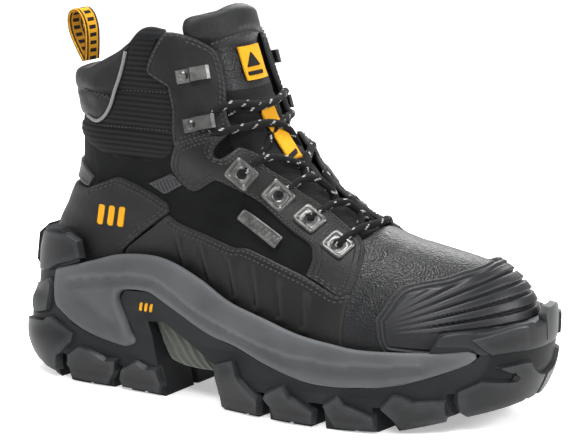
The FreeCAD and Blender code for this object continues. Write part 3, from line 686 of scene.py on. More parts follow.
CUFF = [
    [(32, 143), (35, 143), (42, 142), (54, 139.5)],
    [(54, 139), (76, 132), (86, 129), (94, 128), (106, 131), (118, 137), (122, 143)],
    [(122, 143), (122, 160), (119, 175)], [(119, 175), (111, 180), (106, 183)],
    [(106, 183), (109, 196), (114, 205)], CUFF_TOP_LINE[::-1], COLLAR_FRONT,
    [(60, 153), (42, 153), (34, 153), (32, 153)]]
COLLAR = [TOP_LINE, COLLAR_FRONT, [(60, 153), (42, 152), (34, 152), (33, 152)]]
PIPING_LINE = [(91, 193), (89, 186), (86, 178), (82, 169), (78, 160), (74, 155), (68, 152), (60, 154)]


def tube_faces(first, rings, sides):
    """The faces of a closed tube whose rings of points follow one another."""
    faces = []
    for i in range(rings - 1):
        for k in range(sides):
            a, b = first + i * sides + k, first + i * sides + (k + 1) % sides
            faces.append([a, b, b + sides, a + sides])
    faces.append([first + k for k in reversed(range(sides))])
    faces.append([first + (rings - 1) * sides + k for k in range(sides)])
    return faces


STITCH_POINTS, STITCH_SIDES = 6, 6


def stitch_row(name, chart, line, out, body="boot", length=2.4, pitch=3.3, radius=0.48):
    """A row of stitches along a line of the chart: short rounded bars sunk into the leather."""
    line = resample(line, 0.4)
    run = run_of(line)
    points, faces = [], []
    for start in np.arange(pitch / 2, run[-1] - length, pitch):
        along = np.linspace(0, 1, STITCH_POINTS)
        p = np.interp(start + along * length, run, line[:, 0])
        q = np.interp(start + along * length, run, line[:, 1])
        arch = np.sin(along * math.pi) ** 0.5
        centre = chart.at(p, q, out - 0.45 + 0.5 * arch)
        up = chart.at(p, q, np.full(len(p), out + 5.0)) - chart.at(p, q, np.full(len(p), out))
        up /= np.linalg.norm(up, axis=1, keepdims=True)
        across = np.cross(unit(np.gradient(centre, axis=0)), up)
        faces += tube_faces(len(points), STITCH_POINTS, STITCH_SIDES)
        for place, u, a, swell in zip(centre, up, across, 0.45 + 0.55 * arch):
            for k in range(STITCH_SIDES):
                turn = k * math.pi / 3
                points.append(place + (a * math.cos(turn) + u * math.sin(turn)) * radius * swell)
    return make_piece(name, points, faces, MAT["thread"], body)


def inset(outline, distance, share=1.0):
    """The first share of an outline's points, moved inwards by a distance."""
    moved = outline + inwards(outline) * distance
    away, inside = edge_distance(moved, outline)
    good = inside & (away > distance * 0.93)
    count = int(share * len(outline))
    return moved[:count][good[:count]]


# ---- leather panels ----
def crease_relief(creases, depth):
    """Shallow valleys, each from one (x, z) point to another, as worn into leather."""
    def relief(placed, away):
        drop = np.zeros(len(placed))
        for (x0, z0), (x1, z1), width, share in creases:
            a, d = np.array([x0, z0]), np.array([x1 - x0, z1 - z0])
            t = np.clip(((placed[:, [0, 2]] - a) @ d) / (d @ d), 0, 1)
            gap = np.linalg.norm(placed[:, [0, 2]] - a - t[:, None] * d, axis=1)
            drop -= depth * share * np.exp(-((gap / width) ** 2)) * np.sin(t * math.pi) ** 0.5
        return drop
    return relief


def waves(size):
    """The slight unevenness of hand-lasted leather."""
    def relief(placed, away):
        x, z = placed[:, 0], placed[:, 2]
        return size * (np.sin(x * 0.21 + z * 0.13) * np.sin(z * 0.27 - x * 0.07))
    return relief


VAMP_CREASES = [  # from, to, width, share of the depth
    ((232, 60), (246, 84), 2.0, 1.0), ((240, 48), (252, 74), 1.7, 0.8),
    ((236, 80), (250, 96), 2.2, 0.9), ((246, 60), (258, 86), 1.5, 0.6),
    ((228, 50), (238, 66), 1.6, 0.7)]
vamp = leather_panel("vamp_leather", TOE, mirrored_outline(TOE, VAMP), -1.6, 2.0, MAT["vamp"],
                     crease_relief(VAMP_CREASES, 0.55), 2.4)
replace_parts(vamp, "vamp")

GUARD_RIBS = [
    [(119, 95), (120, 86), (124, 75)], [(136, 91), (138, 81), (143, 69)],
    [(154, 87), (157, 77), (161, 64)], [(171, 85), (174, 74), (177, 60)],
    [(188, 80), (191, 69), (193, 57)], [(204, 75), (207, 65), (208, 53)]]


def line_gap(placed, points):
    """The distance from a soft line of the layout, and on which side of it a point lies."""
    line = soft_line(np.array(points, float), 2.0)
    best = np.full(len(placed), 1e9)
    above = np.zeros(len(placed))
    for a, b in zip(line, line[1:]):
        d = b - a
        t = np.clip(((placed[:, [0, 2]] - a) @ d) / (d @ d), 0, 1)
        off = placed[:, [0, 2]] - a - t[:, None] * d
        gap = np.linalg.norm(off, axis=1)
        nearer = gap < best
        best = np.where(nearer, gap, best)
        above = np.where(nearer, np.sign(d[0] * off[:, 1] - d[1] * off[:, 0]), above)
    return best, above


def rib_relief(placed, away):
    """The pressed ribs of the mudguard: a sharp valley with a soft swell in front of it."""
    height = np.zeros(len(placed))
    for line in GUARD_RIBS:
        gap, front = line_gap(placed, line)
        height -= 0.9 * np.exp(-((gap / 0.9) ** 2))
        height += np.where(front > 0, 0.75, -0.1) * np.exp(-(((gap - 2.6) / 2.4) ** 2))
    return height * ease((away - 5.5) / 3)


for side_name, side in SIDES.items():
    panel = leather_panel(f"side_panel_nubuck_{side_name}", HEEL, outline_on(HEEL, SIDE_PANEL, side),
                          -1.9, 2.0, MAT["nubuck"], waves(0.3), 3.0)
    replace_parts(panel, f"side_panel_{side_name}")
    panel = leather_panel(f"mudguard_leather_{side_name}", HEEL, outline_on(HEEL, MUDGUARD, side),
                          -0.6, 1.9, MAT["quarter"], rib_relief, 1.2)
    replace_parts(panel, f"mudguard_{side_name}")
    top = chart_line(HEEL, MUDGUARD_TOP, side)
    for k, gap in enumerate((2.0, 4.2)):
        stitch_row(f"mudguard_stitch_{side_name}_{k}", HEEL, top - [0, gap], 1.5)
    outline = outline_on(TOE, EYESTAY, side)
    panel = leather_panel(f"eyestay_leather_{side_name}", TOE, outline, -0.4, 2.1, MAT["quarter"],
                          waves(0.15), 2.2)
    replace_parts(panel, f"eyestay_{side_name}")
    for k, gap in enumerate((1.9, 4.0)):
        stitch_row(f"eyestay_stitch_{side_name}_{k}", TOE, inset(outline, gap), 1.85)
    outline = outline_on(TOE, ANKLE, side)
    panel = leather_panel(f"ankle_leather_{side_name}", TOE, outline, -0.3, 2.2, MAT["smooth"],
                          waves(0.25), 2.4)
    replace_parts(panel, f"ankle_panel_{side_name}")
    for k, (gap, share) in enumerate(((1.9, 1.0), (4.1, 0.56))):
        stitch_row(f"ankle_stitch_{side_name}_{k}", TOE, inset(outline, gap, share), 2.1)

counter = leather_panel("counter_leather", HEEL, both_sides(outline_on(HEEL, COUNTER)), -0.8, 2.4,
                        MAT["smooth"], waves(0.2), 2.6)
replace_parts(counter, "heel_counter")
for side_name, side in SIDES.items():
    for k, gap in enumerate((2.0, 4.2)):
        stitch_row(f"counter_stitch_{side_name}_{k}", HEEL,
                   chart_line(HEEL, COUNTER_TOP, side) - [0, gap], 1.85)
        stitch_row(f"counter_front_stitch_{side_name}_{k}", HEEL,
                   chart_line(HEEL, COUNTER_FRONT, side) + [-side * gap, 0.4 * gap], 1.85)

# ---- toe bumper ----
RIB_FAN = (238.0, 50.0)  # the point that the ribs fan out from
FAN_LOW, FAN_HIGH, RIBS = 0.10, 0.62, 6


def groove(away, distance, width=0.5):
    return np.exp(-((away - distance) / width) ** 2)


def bumper_relief(placed, away):
    """Two thin border grooves, and ribs that fan out from the rear corners to the front."""
    border = -1.0 * groove(away, 2.3) - 1.0 * groove(away, 4.7)
    border += 1.2 * ease((placed[:, 2] - 74) / 8) * ease((7 - away) / 3)
    turn = np.arctan2(placed[:, 2] - RIB_FAN[1], placed[:, 0] - RIB_FAN[0])
    place = (turn - FAN_LOW) / (FAN_HIGH - FAN_LOW) * RIBS
    part = place % 1.0
    plate = ease(part / 0.10) * (1 - 0.25 * part) * (1 - ease((part - 0.76) / 0.16))
    fade = ease((placed[:, 0] - 258) / 30) * ease((away - 5.2) / 1.6) * ease((place + 0.05) / 0.2)
    return border + (2.7 * plate - 1.9) * fade


bumper = leather_panel("toe_bumper_rubber", TOE, mirrored_outline(TOE, BUMPER), -0.2, 3.4,
                       MAT["bumper"], bumper_relief, 0.62, 1.6)
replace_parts(bumper, "toe_bumper")

# ---- collar and cuff ----
SEAMS = (134.0, 150.0, 171.0, 206.0)  # heights that the cuff's padding is sewn down at
RIB_PITCH = 3.1


def cuff_relief(placed, away):
    """Padded channels between the sewn seams, and fine ribs all over."""
    swell = np.zeros(len(placed))
    for low, high in zip(SEAMS, SEAMS[1:]):
        share = (placed[:, 2] - low) / (high - low)
        puff = np.sin(np.clip(share, 0, 1) * math.pi) ** 0.45
        swell = np.maximum(swell, np.where((share > 0) & (share < 1), puff, 0))
    lift = np.clip(away / 5, 0, 1) ** 0.5
    ribs = np.abs(np.sin(placed[:, 2] * math.pi / RIB_PITCH + 0.25 * np.sin(placed[:, 0] * 0.05)))
    return lift * (2.1 * swell + 0.55 * ribs - 0.4)


cuff = leather_panel("ankle_cuff_textile", HEEL, both_sides(outline_on(HEEL, CUFF)), -1.6, 1.6,
                     MAT["cuff"], cuff_relief, 1.25)
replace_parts(cuff, "ankle_cuff")


def collar_relief(placed, away):
    """A padded crown with fine wrinkles and one sewn seam."""
    wrinkle = 0.3 * np.sin(placed[:, 0] * 0.35 + placed[:, 2] * 0.2) * ease((away - 4) / 6)
    seam = -1.0 * np.exp(-((placed[:, 2] - 167.5 - 0.02 * placed[:, 0]) / 1.1) ** 2)
    return 3.0 * np.sqrt(1 - (1 - np.clip(away / 9, 0, 1)) ** 2) + wrinkle + seam


collar = leather_panel("heel_collar_leather", HEEL, both_sides(outline_on(HEEL, COLLAR)), -1.4, 1.4,
                       MAT["collar"], collar_relief, 2.0)
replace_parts(collar, "collar")


ROLL_INSIDE, ROLL_OUTSIDE, ROLL_HEIGHT = -7.0, 1.6, 3.6
ROLL_DROP = [0, 2.2]  # the roll's line lies this far below the panel's edge


def rolled_edge(name, line, material):
    """The padded edge that rolls over the top of the shaft along a line of the heel chart."""
    middle, half = (ROLL_INSIDE + ROLL_OUTSIDE) / 2, (ROLL_OUTSIDE - ROLL_INSIDE) / 2
    turns = np.linspace(-0.5, math.pi + 0.5, 13)
    points = [HEEL.on(line + [0, ROLL_HEIGHT * math.sin(t)], middle + half * math.cos(t))
              for t in turns]
    count = len(line)
    faces = []
    for j in range(len(turns)):
        k = (j + 1) % len(turns)
        for i in range(count - 1):
            faces.append([j * count + i, j * count + i + 1, k * count + i + 1, k * count + i])
    for end in (0, count - 1):
        faces.append([j * count + end for j in range(len(turns))])
    piece = make_piece(name, np.vstack(points), faces, material)
    tidy_mesh(piece)
    return piece


top = chart_line(HEEL, TOP_LINE)
top = np.vstack([[[-0.01, 177.0]], top[np.abs(top[:, 0]) > 1.5]]) - ROLL_DROP
top = np.vstack([top[::-1], (top * [-1, 1])[1:]])
rolled_edge("collar_roll", top, MAT["collar"])
for side_name, side in SIDES.items():
    edge = chart_line(HEEL, CUFF_TOP_LINE, side) - ROLL_DROP
    rolled_edge(f"cuff_roll_{side_name}", edge, MAT["cuff"])


TUBE_START = [0.1, 0.3, 1.0]  # any direction that no tube starts along


def tube_frames(line):
    """For each point of a line: its direction, and two directions across that don't twist."""
    ahead = unit(np.gradient(line, axis=0))
    normal = np.cross(ahead[0], TUBE_START)
    for a in ahead:
        normal = normal - a * (normal @ a)
        normal /= np.linalg.norm(normal)
        yield normal, np.cross(a, normal)


def round_tube(name, line, radius, material, sides=10):
    """A tube of mesh along points, with closed ends."""
    turns = np.arange(sides) * 2 * math.pi / sides
    rings = [place + radius * (np.cos(turns)[:, None] * normal + np.sin(turns)[:, None] * across)
             for place, (normal, across) in zip(line, tube_frames(line))]
    piece = make_piece(name, np.vstack(rings), tube_faces(0, len(line), sides), material)
    tidy_mesh(piece)
    return piece


ZIGZAG_POINTS = 15
for side_name, side in SIDES.items():
    line = chart_line(HEEL, PIPING_LINE, side)
    piping = round_tube(f"piping_{side_name}", HEEL.on(line, 1.9), 1.0, MAT["piping"])
    if side == LATERAL:
        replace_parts(piping, "collar_piping")
    zigzag = [(60 + 19 * t, 169.3 - 2.6 * t + (1.0 if k % 2 else -1.0))
              for k, t in enumerate(np.linspace(0, 1, ZIGZAG_POINTS))]
    row = resample(found(HEEL, zigzag, side), 0.7)
    round_tube(f"zigzag_stitch_{side_name}", HEEL.on(row, 2.85), 0.32, MAT["thread"], 6)
    for k, (start, height) in enumerate(((62, 150.2), (86, 171.2))):
        seam = chart_line(HEEL, [(start, height - 0.8), (90, height), (119, height + 0.8)], side)
        stitch_row(f"cuff_seam_{side_name}_{k}", HEEL, seam, 0.9, length=1.7, pitch=2.6, radius=0.4)

# ---- tongue ----
TONGUE_FOOT, TONGUE_TOP = float(ridge_run(96.0)), float(ridge_run(217.5))
TIP = 5  # length of the rounded top
TIP_ROWS = TONGUE_TOP - TIP + TIP * np.sin(np.linspace(0.12, 1, 9) * math.pi / 2)
TONGUE_ROWS = np.concatenate([np.linspace(TONGUE_FOOT, TONGUE_TOP - TIP, 90), TIP_ROWS])
HALF_TONGUE = [(0, 24), (25, 31), (60, 34), (100, 35), (125, 36), (150, 40), (165, 42)]
TONGUE_COLUMNS, TONGUE_BACK, CHANNEL_PITCH = 72, -9.4, 15.0
PAD_HEIGHT, PAD_CURVE, PAD_WIDTH = 199, 4, 17.0  # the lower edge of the top pad


def tongue_shape():
    """Rows of closed rings up the tongue: padded channels below, a smooth pad at the free top."""
    points = []
    turn = np.linspace(0, 2 * math.pi, TONGUE_COLUMNS, endpoint=False)
    for row in TONGUE_ROWS:
        up = row - TONGUE_FOOT
        height = np.interp(row, RIDGE_RUN, RIDGE_Z)
        half = np.interp(up, [k[0] for k in HALF_TONGUE], [k[1] for k in HALF_TONGUE])
        cap = math.sqrt(max(1 - max((row - (TONGUE_TOP - TIP)) / TIP, 0) ** 2, 0.02))
        free = ease((height - 196) / 10)
        p = half * np.sign(np.cos(turn)) * np.abs(np.cos(turn)) ** 0.85 * (0.9 + 0.1 * cap)
        crown = ease((32 - np.abs(p)) / 13)
        channel = 0.8 * np.abs(np.sin(up * math.pi / CHANNEL_PITCH)) ** 0.5 * crown * (1 - free)
        pad = ease((height - PAD_HEIGHT - PAD_CURVE * np.cos(p / PAD_WIDTH)) / 2.2)
        channel += 1.5 * pad + 0.5 * free * np.cos(p / 6.5) * pad
        front = -6.2 + (3.1 + 3.6 * free) * np.maximum(crown, free * 0.9) + channel
        reach = np.abs(np.sin(turn)) ** 0.6 * cap
        out = (front + TONGUE_BACK) / 2 + np.sign(np.sin(turn)) * (front - TONGUE_BACK) / 2 * reach
        lean = 9.0 * (np.abs(p) / 42) ** 3 - 1.3 * np.cos(p * math.pi / 20)
        points.append(TOE.at(p, row - ease((height - 188) / 26) * lean, out))
    return np.vstack(points), tube_faces(0, len(TONGUE_ROWS), TONGUE_COLUMNS)


tongue = make_piece("tongue_padded", *tongue_shape(), MAT["mesh"], None)
tongue.data.materials.append(MAT["vamp"])
tongue.data.materials.append(MAT["smooth"])
LEATHER_FROM, PAD_FROM = 172, 201
for face in tongue.data.polygons:
    high = face.center.z * MM
    face.material_index = 2 if high > PAD_FROM else 1 if high > LEATHER_FROM else 0
tidy_mesh(tongue)
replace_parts(tongue, "tongue_lower", "tongue_upper")
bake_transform(tongue)

pad_turns = np.linspace(-29, 29, 60)
pad_rows = ridge_run(PAD_HEIGHT + PAD_CURVE * np.cos(pad_turns / PAD_WIDTH)) - 1.0
stitch_row("tongue_pad_stitch", TOE, np.stack([pad_turns, pad_rows], -1), 0.7, body="tongue_top")

# ---- pull loop ----
LOOP_FOOT, LOOP_LEAN = np.array([36.5, 0.0, 179.5]), math.radians(14)
LOOP_LINE = [(0.8, 0.2), (3.2, 8), (5.2, 17), (5.0, 24), (3.0, 28.6), (0, 29.8), (-3.0, 28.6),
             (-5.0, 24), (-5.2, 17), (-3.2, 8), (-0.8, 0.2)]
STRAP_HALF_THICK, STRAP_HALF_WIDE = 0.75, 7.2
PRINT_CENTRE, BAR_HALF, EDGE_AT = -0.4, 3.6, 5.4  # the dark print across the strap


def pull_strap():
    """The loop of tape: its two faces, its two edges and its two ends."""
    line = soft_line(LOOP_LINE, 0.55)
    ahead = np.gradient(line, axis=0)
    ahead /= np.linalg.norm(ahead, axis=1, keepdims=True)
    out = np.stack([ahead[:, 1], -ahead[:, 0]], -1)
    across = np.linspace(-STRAP_HALF_WIDE, STRAP_HALF_WIDE, 19)
    lean_cos, lean_sin = math.cos(LOOP_LEAN), math.sin(LOOP_LEAN)
    points, faces, tints = [], [], []
    for layer in (STRAP_HALF_THICK, -STRAP_HALF_THICK):
        for y in across:
            rim = 1 - max(abs(y) - 6.4, 0) / 1.2
            weave = 0.08 * np.sin(np.arange(len(line)) * 1.6 + y * 3)
            side = line + out * (layer * rim + weave)[:, None]
            x = LOOP_FOOT[0] + side[:, 0] * lean_cos - side[:, 1] * lean_sin
            z = LOOP_FOOT[2] + side[:, 0] * lean_sin + side[:, 1] * lean_cos
            points.append(np.stack([x, np.full(len(line), y), z], -1))
    count, wide = len(line), len(across)
    for layer in range(2):
        for j in range(wide - 1):
            for i in range(count - 1):
                a = (layer * wide + j) * count + i
                faces.append([a, a + 1, a + count + 1, a + count])
                off = abs(across[j] - PRINT_CENTRE)
                bar = (i // 4) % 2 == 0 and off < BAR_HALF
                edge = abs(off - EDGE_AT) < 0.9
                tints.append(1 if bar or edge else 0)
    for j in (0, wide - 1):
        for i in range(count - 1):
            a, b = j * count + i, (wide + j) * count + i
            faces.append([a, a + 1, b + 1, b])
            tints.append(1)
    for i in (0, count - 1):
        for j in range(wide - 1):
            a, b = j * count + i, (wide + j) * count + i
            faces.append([a, a + count, b + count, b])
            tints.append(0)
    strap = make_piece("pull_loop_strap", np.vstack(points), faces, MAT["yellow"], "pull_loop")
    strap.data.materials.append(MAT["lace"])
    strap.data.polygons.foreach_set("material_index", tints)
    tidy_mesh(strap)
    return strap


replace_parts(pull_strap(), "pull_loop")

# ---- lace ----
EYELETS = [(162.5, 130), (180.5, 118), (199, 106), (218, 94)]
LACE_EDGES = [(169, 138), (187, 126), (205, 113), (223, 100)]
LACE_OUT, LACE_UNDER, LACE_ON_CROWN, LACE_OVER, LACE_BEHIND_HOOK = 2.9, -4.8, 0.6, 5.4, 2.6
LACE_CLEAR = LACE_OUT + 1
LACE_RADIUS = 2.15


def skin_place(x, z, side, out):
    """The skin's point at x and height z on one side, moved out."""
    step = 0.5
    x, z = float(x), float(z)
    slope_x = (last_width(x + step, z) - last_width(x - step, z)) / (2 * step)
    slope_z = (last_width(x, z + step) - last_width(x, z - step)) / (2 * step)
    bend = (smooth(x + step, CENTRE_LINE) - smooth(x - step, CENTRE_LINE)) / (2 * step)
    normal = np.array([-side * bend - slope_x, side, -slope_z], float)
    normal /= np.linalg.norm(normal)
    return np.array([x, smooth(x, CENTRE_LINE) + side * last_width(x, z), z], float) + normal * out


def on_ridge(x, out):
    """The point of the middle ridge at x, moved out."""
    return TOE.on(np.array([[0.0, ridge_run(float(ridge_height(x)))]]), out)[0]


def lace_branch(first):
    """The route of one half of the lace, from the lowest eyelet to the loose end's last tuck."""
    points = []
    side = first
    for i in (3, 2, 1):
        lift = LACE_OVER if first * side * (-1) ** i > 0 else LACE_ON_CROWN
        points += [skin_place(*EYELETS[i], side, LACE_OUT), skin_place(*EYELETS[i], side, LACE_UNDER),
                   skin_place(*LACE_EDGES[i], side, LACE_UNDER),
                   on_ridge((LACE_EDGES[i][0] + LACE_EDGES[i - 1][0]) / 2 + 4, lift)]
        side = -side
        points.append(skin_place(*LACE_EDGES[i - 1], side, LACE_CLEAR))
    lift = LACE_OVER if side > 0 else LACE_ON_CROWN
    points += [skin_place(*EYELETS[0], side, LACE_OUT), skin_place(*EYELETS[0], side, LACE_UNDER),
               skin_place(*LACE_EDGES[0], side, LACE_UNDER), on_ridge(163, lift)]
    side = -side
    lift = LACE_OVER if side > 0 else LACE_ON_CROWN
    return points + [
        skin_place(150, 151, side, LACE_CLEAR), skin_place(143.5, 152, side, LACE_BEHIND_HOOK),
        skin_place(142, 161, side, LACE_BEHIND_HOOK), skin_place(148, 166, side, LACE_CLEAR),
        on_ridge(158.5, lift), skin_place(150.5, 161, -side, LACE_UNDER),
        skin_place(141, 163, -side, LACE_UNDER)]


def spline_points(points):
    """The NURBS spline's own line through the given control points."""
    data = bpy.data.curves.new("route", "CURVE")
    data.dimensions = "3D"
    data.resolution_u = 10
    spline = data.splines.new("NURBS")
    spline.points.add(len(points) - 1)
    for target, point in zip(spline.points, points):
        target.co = (*point, 1)
    spline.order_u = 3
    spline.use_endpoint_u = True
    holder = bpy.data.objects.new("route", data)
    mesh = bpy.data.meshes.new_from_object(holder)
    line = np.array([v.co for v in mesh.vertices])
    bpy.data.objects.remove(holder)
    bpy.data.meshes.remove(mesh)
    return line


BRAID_SIDES, BRAID_STRANDS, BRAID_TWIST, FLECK_EVERY = 16, 4, 0.55, 21


def braided_cord(name, line, radius):
    """A round braided lace: crossing strands raised a little, with pale flecks woven in."""
    line = resample(line, 0.55)
    turns = np.arange(BRAID_SIDES) * 2 * math.pi / BRAID_SIDES
    rings, tints = [], []
    for i, (place, (normal, across)) in enumerate(zip(line, tube_frames(line))):
        strand = (np.abs(np.sin(BRAID_STRANDS * turns + i * BRAID_TWIST))
                  + np.abs(np.sin(BRAID_STRANDS * turns - i * BRAID_TWIST)))
        size = (radius * (0.93 + 0.055 * strand))[:, None]
        rings.append(place + size * (np.cos(turns)[:, None] * normal + np.sin(turns)[:, None] * across))
    for i in range(len(line) - 1):
        for k in range(BRAID_SIDES):
            fleck = (i + k * 2) % FLECK_EVERY < 3 and (k + i // FLECK_EVERY) % 4 < 2
            tints.append(1 if fleck else 0)
    faces = tube_faces(0, len(line), BRAID_SIDES)
    piece = make_piece(name, np.vstack(rings), faces, MAT["lace"])
    piece.data.materials.append(MAT["fleck"])
    piece.data.polygons.foreach_set("material_index", tints + [0, 0])
    return piece


right_branch, left_branch = lace_branch(1), lace_branch(-1)
crossbar = [skin_place(*LACE_EDGES[3], 1, LACE_OUT), on_ridge(229, LACE_OUT),
            skin_place(*LACE_EDGES[3], -1, LACE_OUT)]
lace_line = spline_points(left_branch[::-1] + crossbar[::-1] + right_branch)
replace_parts(braided_cord("lace_braid", lace_line, LACE_RADIUS), "lace")

# ---- sole ----
SWOOSH = [
    [(40, 64), (43, 66), (64, 72), (84, 78), (106, 80), (122, 78), (143, 71), (163, 62), (188, 56),
     (210, 50), (229, 47), (247, 45), (282, 46), (300, 47.4)],
    [(300, 47.4), (304, 45), (301, 40.5), (289, 35), (272, 29), (258, 26), (247, 25), (231, 24),
     (214, 25), (191, 30), (168, 37), (148, 41), (124, 51), (111, 57), (105, 59), (95, 59), (88, 58),
     (85, 55), (85, 51), (88, 44), (92, 35), (96, 30), (95, 28), (90, 26), (84, 26), (66, 29),
     (52, 34), (42, 41), (39, 45), (38, 53), (40, 64)]]
STEP_LINE = [(48, 58), (64, 61.5), (79, 64), (95, 66), (109, 66), (121, 61.5), (142, 52),
             (168, 44.5), (193, 38.5), (212, 36), (237, 35.5), (257, 36.5), (276, 38.5)]
LOBE_LINE = [(56, 50), (70, 42.5), (82, 36.5)]
LOBE_RIDGE = [(84, 57), (83, 50), (86, 40), (90, 31)]


def swoosh_relief(placed, away):
    """The midsole's long moulded step, with a dent and a ridge in its rear lobe."""
    gap, above = line_gap(placed, STEP_LINE)
    step = np.where(above > 0, 1.0 * groove(gap, 2.2, 2.6), -1.5 * groove(gap, 1.0, 3.2))
    x = placed[:, 0]
    inside = ease((x - 46) / 8) * ease((292 - x) / 16) * ease((away - 1.0) / 2.0)
    dent, _ = line_gap(placed, LOBE_LINE)
    ridge, _ = line_gap(placed, LOBE_RIDGE)
    lobe = -1.3 * np.exp(-((dent / 3.4) ** 2)) + 0.9 * np.exp(-((ridge / 2.2) ** 2)) * ease(away / 2)
    return step * inside + lobe


for side_name, side in SIDES.items():
    swoosh = leather_panel(f"midsole_swoosh_{side_name}", SOLE[side],
                           outline_on(SOLE[side], SWOOSH, side), -0.8, 2.4, MAT["midsole"],
                           swoosh_relief, 1.9, 2.2)
    if side == LATERAL:
        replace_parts(swoosh, "midsole")

LUGS = {
    "a": [(24, 55), (36, 60), (39, 56), (35, 39), (22, 35), (19, 43)],
    "b": [(12, 32), (31, 34.5), (35, 38), (55, 29), (54, 23), (43, 15), (40, 4), (30, 6), (20, 13),
          (11, 24)],
    "c": [(49, 18), (58, 23), (66, 22), (76, 18), (85, 19), (83, 11), (76, 0.8), (60, 0.8), (50, 2),
          (47, 11)],
    "d": [(86, 14), (97, 20), (105, 17), (113, 18), (115, 8), (113, 0.8), (97, 0.8), (85, 0.8),
          (83, 7)],
    "e": [(154, 26), (168, 31), (173, 22), (186, 12), (184, 0.8), (157, 0.8), (156, 14)],
    "f": [(190, 17), (203, 23), (207, 17), (221, 10), (219, 0.8), (194, 0.8), (192, 8), (188, 13)],
    "g": [(225, 15), (235, 21), (239, 16), (255, 11), (254, 0.8), (231, 0.8), (227, 8), (226, 12)],
    "h": [(257, 16), (265, 24), (270, 23.5), (276, 21), (291, 22), (288, 8), (277, 5), (265, 2),
          (262, 10)],
}


def lug_relief(placed, away):
    return 0.5 * ease((placed[:, 2] - 9) / 1.2)


REAR_LUGS = "ab"  # these wrap round the heel, the others lie on the flanks
TOE_BLOCK_LOW = [(294, 26), (305, 32), (316, 30), (316.5, 31.5), (309, 38), (318, 39.5), (322, 40),
                 (323, 30), (318, 16), (308, 13), (293, 9.5), (293.5, 18)]
TOE_BLOCK_HIGH = [(300, 54), (308, 56), (318, 59), (322, 59.5), (322.5, 45.5), (318, 45),
                  (309, 43.5), (305.5, 47)]
HEEL_PLATE = [(41, 86), (49, 86.5), (57, 83), (60, 73), (53, 70), (43, 67), (36, 63), (24, 60),
              (20, 74), (26, 85)]
TOE_WRAP = [[(322.9, 60.2), (322, 60), (318, 59.5), (308, 57), (298, 57.5), (288, 56)],
            [(288, 56), (284, 49)], [(284, 49), (300, 48), (304, 44)],
            [(304, 44), (318, 44), (324, 44), (324.9, 44)]]
NOSE = [(-3, 46), (16, 46), (18, 62), (14, 66), (-1, 66), (-5, 62)]  # on the sole tip's own chart


def rubber_block(name, chart, outline, base, thick, relief=None, spacing=2.2):
    """A moulded block of the outsole with chamfered edges."""
    leather_panel(name, chart, outline, base, thick, MAT["outsole"], relief, spacing, 1.4,
                  chamfered=True)


for side_name, side in SIDES.items():
    for lug, points in LUGS.items():
        chart = SOLE_REAR if lug in REAR_LUGS else SOLE[side]
        rubber_block(f"lug_{lug}_{side_name}", chart, cornered(chart, points, side), -1.5, 4.0,
                     lug_relief, 2.4)
    for name, chart, points, thick in (("toe_block_low", SOLE_TIP, TOE_BLOCK_LOW, 3.6),
                                       ("toe_block_high", SOLE_TIP, TOE_BLOCK_HIGH, 3.4),
                                       ("heel_plate", SOLE_REAR, HEEL_PLATE, 3.2)):
        rubber_block(f"{name}_{side_name}", chart, cornered(chart, points, side), -1.5, thick)
leather_panel("toe_wrap_wall", SOLE_TIP, mirrored_outline(SOLE_TIP, TOE_WRAP), -3.4, 3.7,
              MAT["outsole"], None, 2.2, 1.2)
rubber_block("toe_nose_block", SOLE_TIP, straight_steps(NOSE), -3.0, 3.6, spacing=2.0)

ARCH = [(106, 41), (116, 44.5), (134, 35), (153, 27), (152, 20), (140, 18), (127, 18.5),
        (118, 22.5), (110, 31)]
ARCH_TOP, ARCH_RIB_PITCH = 42, 6.4


def arch_relief(placed, away):
    """Curved ribs that run down and forwards across the arch cover."""
    down = ARCH_TOP - placed[:, 2]
    lean = placed[:, 0] - 0.75 * down - 0.012 * down ** 2
    rib = np.abs(np.sin((lean - 104) * math.pi / ARCH_RIB_PITCH)) ** 0.6
    return (1.5 * rib - 1.3) * ease((away - 0.8) / 1.2)


for side_name, side in SIDES.items():
    leather_panel(f"arch_cover_{side_name}", SOLE[side], cornered(SOLE[side], ARCH, side), -9.5, 4.2,
                  MAT["arch"], arch_relief, 0.9, 0.6)

# ---- eyelets ----
# Each ring: half length, half width, squareness (2 is round), height above the skin.
EYELET_RINGS = [(7.6, 6.6, 9, 0.9), (7.6, 6.6, 9, 2.5), (6.9, 5.9, 9, 3.1), (6.0, 5.0, 9, 3.1),
                (5.2, 4.3, 7, 2.3), (4.3, 3.9, 3, 2.2), (3.4, 3.4, 2, 2.7), (2.8, 2.8, 2, 2.3),
                (2.7, 2.7, 2, -0.6)]
EYELET_SLOPE = [1, 0, -0.68]
EYELET_SIDES = 56
EYELET_SHARP = math.radians(35)


